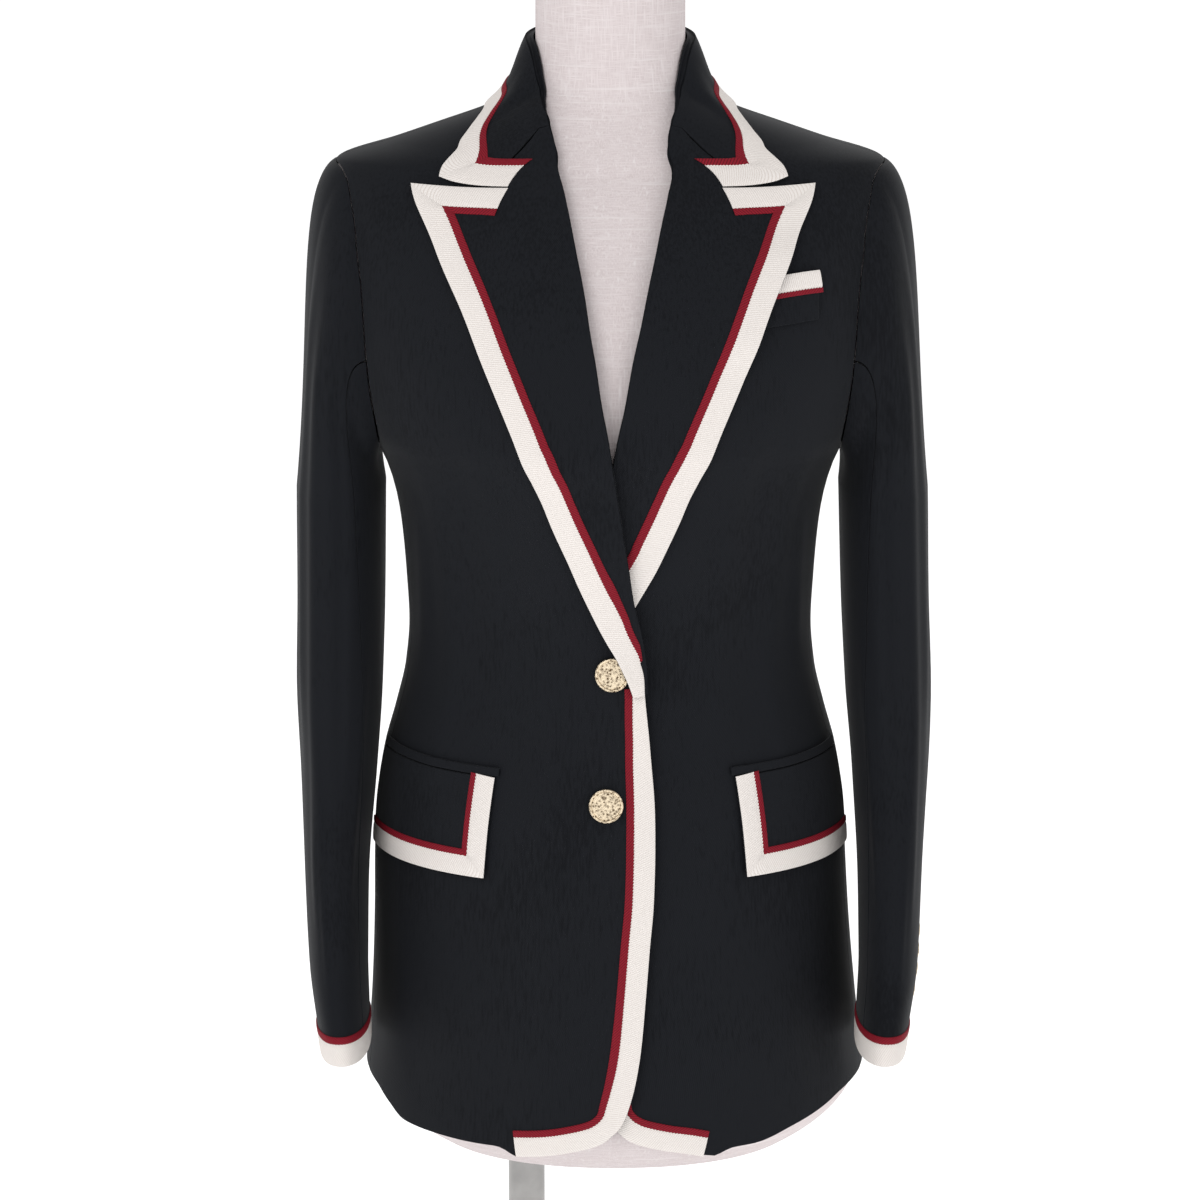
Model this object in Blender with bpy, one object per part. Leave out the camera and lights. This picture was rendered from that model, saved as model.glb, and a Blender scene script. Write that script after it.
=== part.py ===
"""A tailored jacket with contrast braid, worn by a limbless dress form on a short stand.

Run it with blender --background --python part.py, or from Blender's text editor.
Sizes are in millimetres and become metres where a mesh is made. +Z is up, and the
front of the jacket faces -Y, so the wearer's right side is at -X.

The cloth follows one surface, skin(): rings round the body, one above the other, set by
the TORSO table. A place on it is a turn and a height. The turn is in degrees from the
centre front, 90 at the side and 180 at the centre back, and below 0 past the centre.
"""

import bmesh
import bpy
import numpy as np
from mathutils import Matrix, Vector

for leftover in list(bpy.data.objects):
    bpy.data.objects.remove(leftover, do_unlink=True)

MM = 0.001
RIGHT, LEFT = -1, 1  # the wearer's right side is at -X
SIDES = ((RIGHT, "right"), (LEFT, "left"))

WALL = 1.6  # the cloth with its fusing
SEAM = 0.3  # between pieces that are sewn edge to edge
LAID = 0.8  # between a piece and what it lies on
BRAID = 0.9  # thickness of the trim
CREAM_WIDTH, BURGUNDY_WIDTH = 14.0, 5.0


def table(names, *rows):
    """Named columns from rows of numbers, one row for each section or fold."""
    values = np.array(rows, float)
    return {name: values[:, k] for k, name in enumerate(names.split())}


def spline(knots, values, at):
    """A smooth curve through the values that never swings past them."""
    at = np.clip(np.asarray(at, float), knots[0], knots[-1])
    step = np.diff(knots)
    slope = np.diff(values) / step
    lean = np.empty(len(knots))
    lean[0], lean[-1] = slope[0], slope[-1]
    before, after = slope[:-1], slope[1:]
    near, far = 2 * step[1:] + step[:-1], step[1:] + 2 * step[:-1]
    flat = before * after <= 0
    safe_before, safe_after = np.where(flat, 1, before), np.where(flat, 1, after)
    lean[1:-1] = np.where(flat, 0, (near + far) / (near / safe_before + far / safe_after))
    i = np.clip(np.searchsorted(knots, at, side="right") - 1, 0, len(knots) - 2)
    t = (at - knots[i]) / step[i]
    start = values[i] * (1 + 2 * t) * (1 - t) ** 2 + step[i] * lean[i] * t * (1 - t) ** 2
    end = values[i + 1] * t * t * (3 - 2 * t) - step[i] * lean[i + 1] * t * t * (1 - t)
    return start + end


def read(source, name, at, key="height"):
    """A column of a table, read smoothly at the given heights."""
    return spline(source[key], source[name], at)


def ramp(value, start, end):
    """0 up to start, 1 from end on, and smooth between them."""
    t = np.clip((value - start) / (end - start), 0, 1)
    return t * t * (3 - 2 * t)


def unit(vectors):
    return vectors / np.linalg.norm(vectors, axis=-1, keepdims=True)


# --- the body surface -----------------------------------------------------------------

# A ring has a half width, a depth in front of and behind its middle, a fullness (2 is an
# ellipse, more is squarer) and a small shift to +X, because the skirt hangs off centre.
TORSO = table(
    "height half_width front back fullness shift",
    (330, 174, 137, 135, 2.15, 4.0),
    (363, 171, 136, 133, 2.15, 3.5),
    (420, 165, 134, 130, 2.15, 2.5),
    (480, 161, 131, 127, 2.15, 1.0),
    (530, 159, 128, 122, 2.15, 0),
    (560, 157, 125, 117, 2.15, 0),
    (591, 152, 121, 111, 2.15, 0),
    (620, 144, 117, 105, 2.15, 0),
    (650, 137, 115, 100, 2.15, 0),
    (680, 134.5, 114, 97, 2.15, 0),
    (712, 136, 117, 97, 2.15, 0),
    (740, 138, 122, 99, 2.2, 0),
    (760, 140.5, 126, 101, 2.2, 0),
    (783, 146, 130, 104, 2.2, 0),
    (800, 153, 133, 106, 2.25, 0),
    (815, 161, 135, 108, 2.3, 0),
    (850, 172, 133, 110, 2.35, 0),
    (900, 181, 121, 109, 2.4, 0),
    (940, 186, 102, 102, 2.5, 0),
    (965, 187, 88, 94, 2.5, 0),
    (980, 184, 78, 86, 2.45, 0),
    (988, 178, 72, 81, 2.4, 0),
    (1000, 142, 65, 75, 2.3, 0),
    (1010, 113, 59, 70, 2.2, 0),
    (1020, 84, 54, 65, 2.15, 0),
    (1028, 65, 51, 61, 2.1, 0),
    (1036, 56.5, 49.5, 58, 2.1, 0),
    (1048, 53, 49, 56, 2.05, 0),
    (1062, 51.5, 48.5, 55, 2.0, 0),
    (1085, 51.5, 48.5, 55, 2.0, 0),
    (1110, 51.5, 48.5, 55, 2.0, 0),
)


# The left lapel lies farther out than the right one. These are the turns of its roll line and
# edge, and how many turns farther out each lies; the cloth beside it follows up to SETTLED.
LEFT_LAPEL = table(
    "height roll edge roll_shift edge_shift",
    (656, -7.9, -6.0, 0.0, 0.0),
    (690, -6.9, 0.3, 0.3, 0.6),
    (719, -4.4, 5.2, 0.4, 1.5),
    (748, -2.7, 9.3, 0.5, 2.8),
    (801, 0.0, 15.9, 0.6, 3.1),
    (830, 0.8, 18.7, 0.8, 2.8),
    (875, 2.4, 23.7, 1.1, 2.6),
    (912, 3.6, 27.9, 1.6, 2.2),
    (950, 5.1, 33.0, 1.8, 1.7),
    (980, 7.6, 39.2, 2.0, 1.5),
    (1000, 12.0, 42.0, 0.8, 0.6),
    (1010, 20.0, 45.0, 0.0, 0.0),
)
SETTLED = 56.0


def shifted(side, turn, height):
    """The turn on the body of a place that is given by its turn on an even pair of fronts."""
    if side == RIGHT:
        return turn
    roll, edge, at_roll, at_edge = (
        read(LEFT_LAPEL, name, height) for name in ("roll", "edge", "roll_shift", "edge_shift")
    )
    across = np.clip((turn - roll) / (edge - roll), 0, 1)
    return turn + (at_roll + (at_edge - at_roll) * across) * (1 - ramp(turn, edge, SETTLED))


def skin(side, turn, height, out=0.0):
    """Points at a turn and a height, moved out from the body surface along its normal."""
    turn, height, out = np.broadcast_arrays(turn, height, out)
    turn = np.radians(shifted(side, turn, height))
    wide, front, back, full, shift = (
        read(TORSO, name, height) for name in ("half_width", "front", "back", "fullness", "shift")
    )
    fore = np.cos(turn) > 0
    deep = np.where(fore, front, back)
    x = side * wide * np.sign(np.sin(turn)) * np.abs(np.sin(turn)) ** (2 / full)
    y = -deep * np.sign(np.cos(turn)) * np.abs(np.cos(turn)) ** (2 / full)
    wider = read(TORSO, "half_width", height + 0.5) - read(TORSO, "half_width", height - 0.5)
    fuller = read(TORSO, "front", height + 0.5) - read(TORSO, "front", height - 0.5)
    rear = read(TORSO, "back", height + 0.5) - read(TORSO, "back", height - 0.5)
    deeper = np.where(fore, fuller, rear)
    across, along = np.abs(x / wide), np.abs(y / deep)
    normal = np.stack(
        [
            np.sign(x) * across ** (full - 1) / wide,
            np.sign(y) * along ** (full - 1) / deep,
            -(across**full * wider / wide + along**full * deeper / deep),
        ],
        -1,
    )
    return np.stack([x + shift, y, height + 0 * x], -1) + out[..., None] * unit(normal)


def moved(side, path, amounts):
    """A path of (turn, height) rows, moved across itself on the surface by millimetres.

    Positive amounts go to the left of the path's direction as seen from outside on the
    wearer's left side. Corners are mitred.
    """
    path = np.asarray(path, float)
    amounts = np.broadcast_to(np.asarray(amounts, float), len(path))
    turn, height = path.T
    here = skin(side, turn, height)
    by_turn = (skin(side, turn + 0.05, height) - skin(side, turn - 0.05, height)) / 0.1
    by_height = (skin(side, turn, height + 0.1) - skin(side, turn, height - 0.1)) / 0.2
    normal = skin(side, turn, height, 1.0) - here
    steps = unit(np.diff(here, axis=0))
    before, after = np.vstack([steps[:1], steps]), np.vstack([steps, steps[-1:]])
    first, second = unit(np.cross(normal, before)), unit(np.cross(normal, after))
    mitre = (first + second) / (1 + np.maximum((first * second).sum(1), -0.5))[:, None]
    shift = mitre * (side * amounts)[:, None]
    aa, bb = (by_turn**2).sum(1), (by_height**2).sum(1)
    ab = (by_turn * by_height).sum(1)
    a, b = (by_turn * shift).sum(1), (by_height * shift).sum(1)
    span = aa * bb - ab**2
    return np.stack([turn + (a * bb - b * ab) / span, height + (b * aa - a * ab) / span], -1)


def between(first, last, shares):
    """Rows of points from one path to another, at the given shares of the way."""
    shares = np.asarray(shares, float)[None, :, None]
    return first[:, None] * (1 - shares) + last[:, None] * shares


# --- meshes and materials ---------------------------------------------------------------


def material(name, colour, roughness, metallic=0.0):
    made = bpy.data.materials.new(name)
    made.use_nodes = True
    shader = made.node_tree.nodes["Principled BSDF"]
    shader.inputs["Base Color"].default_value = (*colour, 1.0)
    shader.inputs["Roughness"].default_value = roughness
    shader.inputs["Metallic"].default_value = metallic
    return made


BODY_CLOTH = material("black_wool_cloth", (0.012, 0.013, 0.016), 0.85)
CREAM = material("cream_braid", (0.86, 0.80, 0.76), 0.8)
BURGUNDY = material("burgundy_braid", (0.22, 0.012, 0.03), 0.75)
GOLD = material("gold_button_metal", (0.78, 0.62, 0.42), 0.32, 1.0)
LINEN = material("linen_form_cover", (0.75, 0.69, 0.69), 0.9)
STEEL = material("stand_steel", (0.62, 0.60, 0.58), 0.28, 1.0)


def add_object(name, points, faces, surface):
    """A mesh object from points in millimetres, its faces turned outwards."""
    mesh = bpy.data.meshes.new(name)
    mesh.from_pydata((np.asarray(points).reshape(-1, 3) * MM).tolist(), [], faces)
    bm = bmesh.new()
    bm.from_mesh(mesh)
    bmesh.ops.recalc_face_normals(bm, faces=bm.faces)
    if bm.calc_volume(signed=True) < 0:
        bmesh.ops.reverse_faces(bm, faces=bm.faces)
    bm.to_mesh(mesh)
    bm.free()
    mesh.shade_smooth()
    mesh.set_sharp_from_angle(angle=np.radians(40))
    mesh.materials.append(surface)
    made = bpy.data.objects.new(name, mesh)
    bpy.context.scene.collection.objects.link(made)
    return made


def wall(name, outer, inner, surface):
    """A closed wall from two grids of points, its outer and its inner face."""
    rows, columns = outer.shape[:2]
    front = np.arange(rows * columns).reshape(rows, columns)
    rear = front + rows * columns
    faces = []
    for grid, order in ((front, 1), (rear, -1)):
        corners = np.stack([grid[:-1, :-1], grid[:-1, 1:], grid[1:, 1:], grid[1:, :-1]], -1)
        faces += corners.reshape(-1, 4)[:, ::order].tolist()
    rim = np.concatenate([front[0], front[1:, -1], front[-1, -2::-1], front[-2:0:-1, 0]])
    after = np.roll(rim, -1)
    far = rows * columns
    faces += np.stack([after, rim, rim + far, after + far], -1).tolist()
    return add_object(name, np.stack([outer, inner]), faces, surface)


def solid_of_rings(name, rings, surface):
    """A closed solid from rings of points, with flat ends."""
    count, around = rings.shape[:2]
    index = np.arange(count * around).reshape(count, around)
    after = np.roll(index, -1, axis=1)
    sides = np.stack([index[:-1], after[:-1], after[1:], index[1:]], -1).reshape(-1, 4)
    return add_object(name, rings, sides.tolist() + [index[0].tolist(), index[-1].tolist()], surface)


def turned(name, profile, around, surface):
    """A solid turned about +Z from (radius, height) rows that run up its outside."""
    angles = np.linspace(0, 2 * np.pi, around, endpoint=False)
    radius, height = np.asarray(profile, float).T
    x, y = radius[:, None] * np.cos(angles), radius[:, None] * np.sin(angles)
    return solid_of_rings(name, np.stack([x, y, height[:, None] + 0 * x], -1), surface)


def placed(made, at, outward=(0, 0, 1)):
    """Moves an object to a point in millimetres, with its +Z axis turned outward."""
    facing = Vector(outward).to_track_quat("Z", "Y").to_matrix().to_4x4()
    made.matrix_world = Matrix.Translation(Vector(at) * MM) @ facing


def sewn(name, side, grid, offset):
    """A cloth piece on the body from its (turn, height) grid, at the offset of its outer face."""
    turn, height = grid[..., 0], grid[..., 1]
    out = offset(side, turn, height)
    wall(name, skin(side, turn, height, out), skin(side, turn, height, out - WALL), BODY_CLOTH)


# --- where the fronts' edges and roll lines run -----------------------------------------

# The front edge below the lapel, up from the hem, with its round cutaway corner, and the
# width of its cream braid, which narrows under the upper button.
FRONT_EDGE = table(
    "turn height cream",
    (20.5, 344, 13),
    (14.5, 346.5, 13),
    (8.8, 350, 13),
    (2.8, 356, 13),
    (-0.8, 368, 13),
    (-2.9, 386, 13),
    (-4.8, 414, 13),
    (-6.4, 454, 13),
    (-7.6, 488, 13),
    (-8.8, 521, 13),
    (-9.2, 554, 13),
    (-9.3, 580, 13),
    (-9.0, 605, 13),
    (-8.7, 625, 12),
    (-8.4, 638, 8.5),
    (-7.95, 655, 5.0),
)
HEM_END = {RIGHT: 20.5, LEFT: 17.8}  # the turns at which the braid ends on the hem
# The roll line goes up from the break and becomes the fold of the collar. Softness is how
# far the turned cloth stands off the cloth below at the fold, and reach how soon it settles.
ROLL = table(
    "turn height softness reach",
    (-7.9, 656, 0.0, 24),
    (-7.8, 670, 0.0, 24),
    (-7.2, 685, 0.0, 24),
    (-6.0, 702, 0.0, 24),
    (-4.4, 719, 0.1, 24),
    (-3.0, 742, 0.1, 24),
    (-1.7, 767, 0.2, 24),
    (-0.4, 794, 0.3, 24),
    (0.7, 827, 0.7, 24),
    (1.5, 846, 1.0, 24),
    (2.3, 871, 1.4, 25),
    (3.2, 895, 1.8, 26),
    (4.0, 925, 2.2, 27),
    (5.0, 948, 2.5, 28),
    (6.4, 972, 2.8, 29),
    (9.8, 993, 3.0, 30),
    (15.5, 1005, 3.2, 31),
    (25.6, 1017, 3.2, 31),
    (45.0, 1029.5, 2.6, 30),
    (57.0, 1041.5, 2.1, 30),
    (66.0, 1052.5, 1.8, 30),
    (77.0, 1060.5, 1.6, 30),
    (90.0, 1064, 1.6, 30),
    (115.0, 1067, 1.6, 30),
    (145.0, 1070, 1.6, 30),
    (180.0, 1071, 1.6, 30),
)
ROLL_ROWS = np.arange(len(ROLL["turn"]), dtype=float)
DENSE_ROWS = np.linspace(0, ROLL_ROWS[-1], 260)
DENSE_ROLL = {name: spline(ROLL_ROWS, column, DENSE_ROWS) for name, column in ROLL.items()}
LAPEL_END_ROW = 17  # the rows before it belong to the lapel

# The lapel's edge, up from the break to its peak, in along its top, and up the gorge seam.
LAPEL_EDGE = table(
    "turn height",
    (-6.6, 656.5),
    (-4.3, 664),
    (-2.2, 675),
    (0.6, 692),
    (5.2, 719),
    (9.0, 746),
    (13.0, 773),
    (15.9, 800),
    (17.2, 813),
    (18.3, 826),
    (20.9, 851),
    (23.7, 875),
    (26.3, 899),
    (29.3, 923),
    (32.5, 946),
    (35.8, 963),
    (39.2, 978.5),
    (27.5, 977.2),
    (21.5, 976.8),
    (15.9, 976.6),
    (17.4, 990),
    (19.15, 1004),
)
PEAK_ROW, GORGE_ROW = 16, 19  # the rows at the lapel's peak and at the foot of its gorge

# The wearer's right front laps over the left one, so it stands off by the layers beneath:
# the left front and its braid low down, and the left lapel too where that lies below it.
LAP_LIFT = table(
    "height lift",
    (330, 5.3),
    (600, 5.3),
    (645, 6.9),
    (800, 6.9),
    (835, 4.4),
    (880, 1.6),
    (950, 0.0),
    (1110, 0.0),
)
LAP_START, LAP_END = 28.0, 11.0  # turns between which the right front rises
OVER_BUTTON = 3.9  # how far the right lapel's lower end turns up over the upper button
OVER_WELT = 4.4  # and the left lapel's edge over the breast pocket's welt


def lift(side, turn, height):
    """How far the front panels stand off the body surface."""
    if side == LEFT:
        return 0.0 * (turn + height)
    return read(LAP_LIFT, "lift", height) * (1 - ramp(turn, LAP_END, LAP_START))


# Folds of the fronts, sides and back: soft troughs (below 0) and ridges down the cloth.
FOLDS = table(
    "turn width depth low high",
    (39.0, 5.0, -1.6, 600, 850),
    (63.0, 7.0, 1.8, 350, 470),
    (100.0, 8.0, -1.6, 640, 760),
    (140.0, 7.0, -1.4, 620, 900),
)


def crease(turn, height):
    """The folds' depth at places on the body surface."""
    depth = 0.0 * (turn + height)
    for across, width, deep, low, high in zip(*FOLDS.values()):
        middle = across + (height - low) / (high - low) * -3.0
        window = ramp(height, low, low + 60) * (1 - ramp(height, high - 60, high))
        depth = depth + deep * np.exp(-(((turn - middle) / width) ** 2)) * window
    return depth


def panel_out(side, turn, height):
    return lift(side, turn, height) + crease(turn, height)


def folded_out(side, turn, height):
    """How far the outer face of a lapel or the collar stands off the body surface."""
    flat = panel_out(side, turn, height)
    here = skin(side, turn, height, flat)
    line_turn, line_height = DENSE_ROLL["turn"], DENSE_ROLL["height"]
    line = skin(side, line_turn, line_height, lift(side, line_turn, line_height))
    away = np.linalg.norm(here[..., None, :] - line, axis=-1)
    nearest = away.argmin(-1)
    share = away.min(-1) / DENSE_ROLL["reach"][nearest]
    stand = DENSE_ROLL["softness"][nearest] * np.exp(-(share**2))
    if side == RIGHT:
        roll = np.interp(height, ROLL["height"][:LAPEL_END_ROW], ROLL["turn"][:LAPEL_END_ROW])
        edge = np.interp(height, LAPEL_EDGE["height"][:PEAK_ROW], LAPEL_EDGE["turn"][:PEAK_ROW])
        across = np.clip((turn - roll) / (edge - roll), 0, 1)
        stand = stand + OVER_BUTTON * across * (1 - ramp(height, 684, 732))
    else:
        window = ramp(height, 862, 888) * (1 - ramp(height, 932, 956))
        stand = stand + OVER_WELT * ramp(turn, 11, 22) * window
    return flat + LAID + WALL + stand


def fold_radius(side, rows):
    """Half of the fold's whole thickness along the roll line."""
    softness = spline(ROLL_ROWS, ROLL["softness"], rows)
    return (LAID + 2 * WALL + softness) / 2


def roll_path(rows):
    return np.stack([spline(ROLL_ROWS, ROLL[name], rows) for name in ("turn", "height")], -1)


def fold_columns(side, rows, angles):
    """Points round the turned edge at rows of the roll line, at angles up from its middle."""
    path = roll_path(rows)
    turn, height = path.T
    radius = fold_radius(side, rows)
    flat = panel_out(side, turn, height)
    bottom = skin(side, turn, height, flat - WALL)
    normal = unit(skin(side, turn, height, flat + 1.0) - skin(side, turn, height, flat))
    ahead, behind = roll_path(rows + 0.05), roll_path(rows - 0.05)
    along = unit(skin(side, *ahead.T) - skin(side, *behind.T))
    away = unit(np.cross(along, normal)) * side
    angles = np.radians(angles)
    centre = bottom + normal * radius[:, None] - away * radius[:, None]
    rise, spread = np.sin(angles)[None, :, None], np.cos(angles)[None, :, None]
    reach = radius[:, None, None]
    outer = centre[:, None] + reach * (rise * normal[:, None] + spread * away[:, None])
    tighter = np.maximum(reach - WALL, 0.12)
    inner = centre[:, None] + tighter * (rise * normal[:, None] + spread * away[:, None])
    return outer, inner


# --- fronts, sides and back ----------------------------------------------------------------

SIDE_SEAM, BACK_SEAM = 78.0, 118.0
# The armhole, round from the shoulder tip (0) to the front (90), the underarm (180) and the
# back (270). Lean is how far the sleeve's cloth turns out from the panel's own direction.
ARMHOLE = table(
    "place turn height lean head",
    (0, 90, 987.5, 16, 30),
    (15, 76, 986, 20, 29),
    (30, 65.5, 980, 27, 28),
    (45, 60, 966, 36, 27),
    (60, 58, 945, 46, 27),
    (75, 57.8, 922, 54, 26),
    (90, 58.8, 900, 60, 25),
    (105, 60.5, 876, 66, 23),
    (120, 62.5, 852, 74, 20),
    (135, 65, 829, 84, 17),
    (150, 69.5, 811, 100, 13),
    (165, 78, 801.5, 130, 9),
    (180, 90, 799, 150, 7),
    (195, 102, 801.5, 130, 9),
    (210, 110.5, 811, 100, 13),
    (225, 115.5, 830, 84, 17),
    (240, 119, 853, 74, 20),
    (255, 121.2, 878, 66, 23),
    (270, 122, 904, 60, 25),
    (285, 121.5, 930, 54, 26),
    (300, 119.5, 952, 46, 27),
    (315, 115, 970, 36, 27),
    (330, 107, 981, 27, 28),
    (345, 98, 986, 20, 29),
    (360, 90, 987.5, 16, 30),
)
BACK_PLACE = float(np.interp(BACK_SEAM, ARMHOLE["turn"][6:18], ARMHOLE["place"][6:18]))
NECKLINE = table(
    "turn height",
    (20, 1006.5),
    (30, 1012),
    (50, 1020.5),
    (70, 1025),
    (90, 1027.5),
    (135, 1029.5),
    (180, 1030.5),
)
# The hem's height round the body for each side; the sides hang a little short.
HEM = table(
    "turn right left",
    (15, 350, 348),
    (30, 349, 349),
    (42, 350, 356),
    (54, 352, 363),
    (62, 360, 368),
    (70, 367, 370),
    (90, 371, 372),
    (180, 362, 362),
)


def hem(side, turn):
    return read(HEM, "right" if side == RIGHT else "left", turn, key="turn")


# Rows of points across the fronts and back. Below the underarm they are heights of the front
# edge and rows of the roll line, and the side seams take the same ones, so that they match.
EDGE_ROWS = np.array([344, 350, 357, 369, 388, 418, 458, 505, 552, 590, 620, 648.0])
BREAK_ROWS = np.array([0.15, 1.75, 2.6, 4, 5.4, 7.23])
# Above it each row runs from a place on the armhole to a height on the roll line or back.
ARM_ROWS = table(
    "place roll_height back_height",
    (150, 811, 0),
    (135, 829, 0),
    (120, 851, 868),
    (105, 875, 888),
    (90, 900, 910),
    (75, 922, 932),
    (60, 945, 953),
    (45, 965, 971),
    (30, 980, 984),
    (15, 990, 993),
    (0, 998, 1000),
)
# And from a height on the shoulder seam to a place on the neckline.
RIDGE_ROWS = table(
    "height neck_turn back_height",
    (993, 19.0, 1006),
    (999, 25.0, 1011.5),
    (1006, 36.0, 1016.5),
    (1013, 51.0, 1021.5),
    (1020, 68.0, 1026),
    (1026.8, 86.0, 1030.2),
)
UNDERARM = 801.5  # the height at which the side panel's front edge reaches the armhole


def armhole_at(places):
    return np.stack([read(ARMHOLE, name, places, key="place") for name in ("turn", "height")], -1)


def armhole_point(side, place, out=0.0):
    """A point on the body surface at a place round the armhole."""
    turn, height = (read(ARMHOLE, name, place % 360, key="place") for name in ("turn", "height"))
    return skin(side, turn, height, out)


def beside_roll(side, rows):
    """The roll line moved in by the fold, where the cloth under a lapel or collar ends."""
    return moved(side, roll_path(rows), -(fold_radius(side, rows) + 2 * SEAM))


def front_centre(side):
    """The front panel's edge, from the hem up its front and roll line and round the neck."""
    edge = np.stack([spline(FRONT_EDGE["height"], FRONT_EDGE["turn"], EDGE_ROWS), EDGE_ROWS], -1)
    roll_rows = np.interp(ARM_ROWS["roll_height"], ROLL["height"][:17], ROLL_ROWS[:17])
    roll = beside_roll(side, np.concatenate([BREAK_ROWS, roll_rows]))
    turns = RIDGE_ROWS["neck_turn"]
    neck = np.stack([turns, read(NECKLINE, "height", turns, key="turn") - SEAM], -1)
    return np.vstack([edge, roll, neck])


def front_outside(side):
    """Where the front's rows end: the side seam, then the armhole, then the shoulder seam."""
    low = hem(side, SIDE_SEAM)
    below = front_centre(side)[: len(EDGE_ROWS) + len(BREAK_ROWS), 1]
    below[-1] = UNDERARM
    blend = below[0] + 90
    share = np.clip((below - below[0]) / (blend - below[0]), 0, 1)
    seam = np.where(below < blend, low + share * (blend - low), below)
    arm = armhole_at(ARM_ROWS["place"])
    ridge = RIDGE_ROWS["height"]
    rows = [np.stack([SIDE_SEAM + 0 * seam, seam], -1), arm, np.stack([90 + 0 * ridge, ridge], -1)]
    return np.vstack(rows)


def seam_shares(side):
    """How far up the side seams each row of points lies, from the hem to the armhole."""
    height = front_outside(side)[: len(EDGE_ROWS) + len(BREAK_ROWS), 1]
    return (height - height[0]) / (UNDERARM - height[0])


def make_front(side, name):
    centre, outside = front_centre(side), front_outside(side)
    inside = moved(side, outside, SEAM / 2)
    on_seam = outside[:, 0] == SIDE_SEAM
    inside[on_seam, 1] = outside[on_seam, 1]
    grid = between(centre, inside, 1 - (1 - np.linspace(0, 1, 8)) ** 1.12)
    # the hem follows HEM between the cutaway and the side
    fade = np.clip(1 - (centre[:, 1] - centre[0, 1]) / 60, 0, 1)[:, None]
    sag = (hem(side, grid[0, :, 0]) - grid[0, :, 1]) * ramp(grid[0, :, 0], 20.4, 26)
    grid[..., 1] += sag[None] * fade
    sewn(f"front_{name}", side, grid, panel_out)


def make_side(side, name):
    inset = np.degrees(SEAM / 2 / 150)
    turns = np.linspace(SIDE_SEAM + inset, BACK_SEAM - inset, 5)
    arm_turn, arm_height = armhole_at(np.linspace(165, BACK_PLACE, 200)).T
    top = np.interp(turns, arm_turn, arm_height) - SEAM / 2
    low = hem(side, turns)
    shares = seam_shares(side)[:, None]
    grid = np.stack([turns + 0 * shares, low + (top - low) * shares], -1)
    sewn(f"side_panel_{name}", side, grid, panel_out)


def make_back(side, name):
    arm = ARM_ROWS["back_height"] > 0
    corner = armhole_at(BACK_PLACE)[1]
    low, middle = hem(side, BACK_SEAM), hem(side, 180)
    shares = seam_shares(side)
    seam = np.stack([BACK_SEAM + 0 * shares, low + (corner - low) * shares], -1)
    ridge = np.stack([90 + 0 * RIDGE_ROWS["height"], RIDGE_ROWS["height"]], -1)
    outside = np.vstack([seam, armhole_at(360 - ARM_ROWS["place"][arm]), ridge])
    inside = moved(side, outside, -SEAM / 2)
    inside[: len(shares), 1] = outside[: len(shares), 1]
    rising = middle + (corner + 6 - middle) * shares
    height = np.concatenate([rising, ARM_ROWS["back_height"][arm], RIDGE_ROWS["back_height"]])
    inset = np.degrees(SEAM / 2 / read(TORSO, "back", height))
    grid = between(inside, np.stack([180 - inset, height], -1), np.linspace(0, 1, 7))
    # the top row lies along the neckline
    neck = read(NECKLINE, "height", grid[-1, :, 0], key="turn") - SEAM - grid[-1, :, 1]
    rise = np.linspace(0, 1, len(RIDGE_ROWS["height"]) + 1)[1:]
    grid[-len(rise) :, :, 1] += neck * rise[:, None]
    sewn(f"back_{name}", side, grid, panel_out)


# --- sleeves -----------------------------------------------------------------------------

# Rings down the sleeve. The arms hang a little forward, and the left sleeve hangs farther out.
SLEEVE = table(
    "height right_x left_x half_width half_depth centre_y",
    (398, 175.6, 179.4, 15.3, 56.0, -80),
    (425, 178.0, 182.0, 17.2, 56.5, -73),
    (460, 181.2, 185.8, 19.2, 57.0, -60),
    (520, 182.5, 187.0, 21.3, 57.5, -42),
    (580, 181.2, 187.3, 25.0, 58.0, -25),
    (640, 180.3, 185.5, 28.3, 60.0, -16),
    (700, 179.3, 183.3, 29.2, 63.0, -8),
    (772, 178.5, 181.3, 29.4, 66.0, -2),
)
SLEEVE_TOP = 772.0
CUFF_HEIGHT = 405.0
CUFF_RISE = 0.05  # the cuff is cut a little higher in front
SLEEVE_FULLNESS = 2.2
UNDERARM_ROOM = 0.8  # the sleeve's lowest cloth starts this far outside the side panel
SLEEVE_GAP = 0.32  # in places, from each seam of the sleeve
CAP_SHARES = np.array([0, 0.07, 0.16, 0.28, 0.42, 0.58, 0.78, 1])
ARM_HEIGHTS = np.array([730, 685, 638, 592, 547, 502, 462, 428, CUFF_HEIGHT])
# The two seams twist outwards down the sleeve. Places are as on the armhole.
FRONT_SEAM = {"top": 112.0, "cuff": 150.0}
ELBOW_SEAM = {"top": 285.0, "cuff": {RIGHT: 332.0, LEFT: 346.0}}
SLEEVE_FOLDS = table(
    "place width depth low high",
    (62, 9, 1.6, 470, 900),
    (96, 8, -1.5, 560, 880),
    (20, 10, -1.3, 560, 760),
    (230, 12, -1.6, 600, 760),
    (300, 10, 1.4, 520, 820),
)


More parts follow.
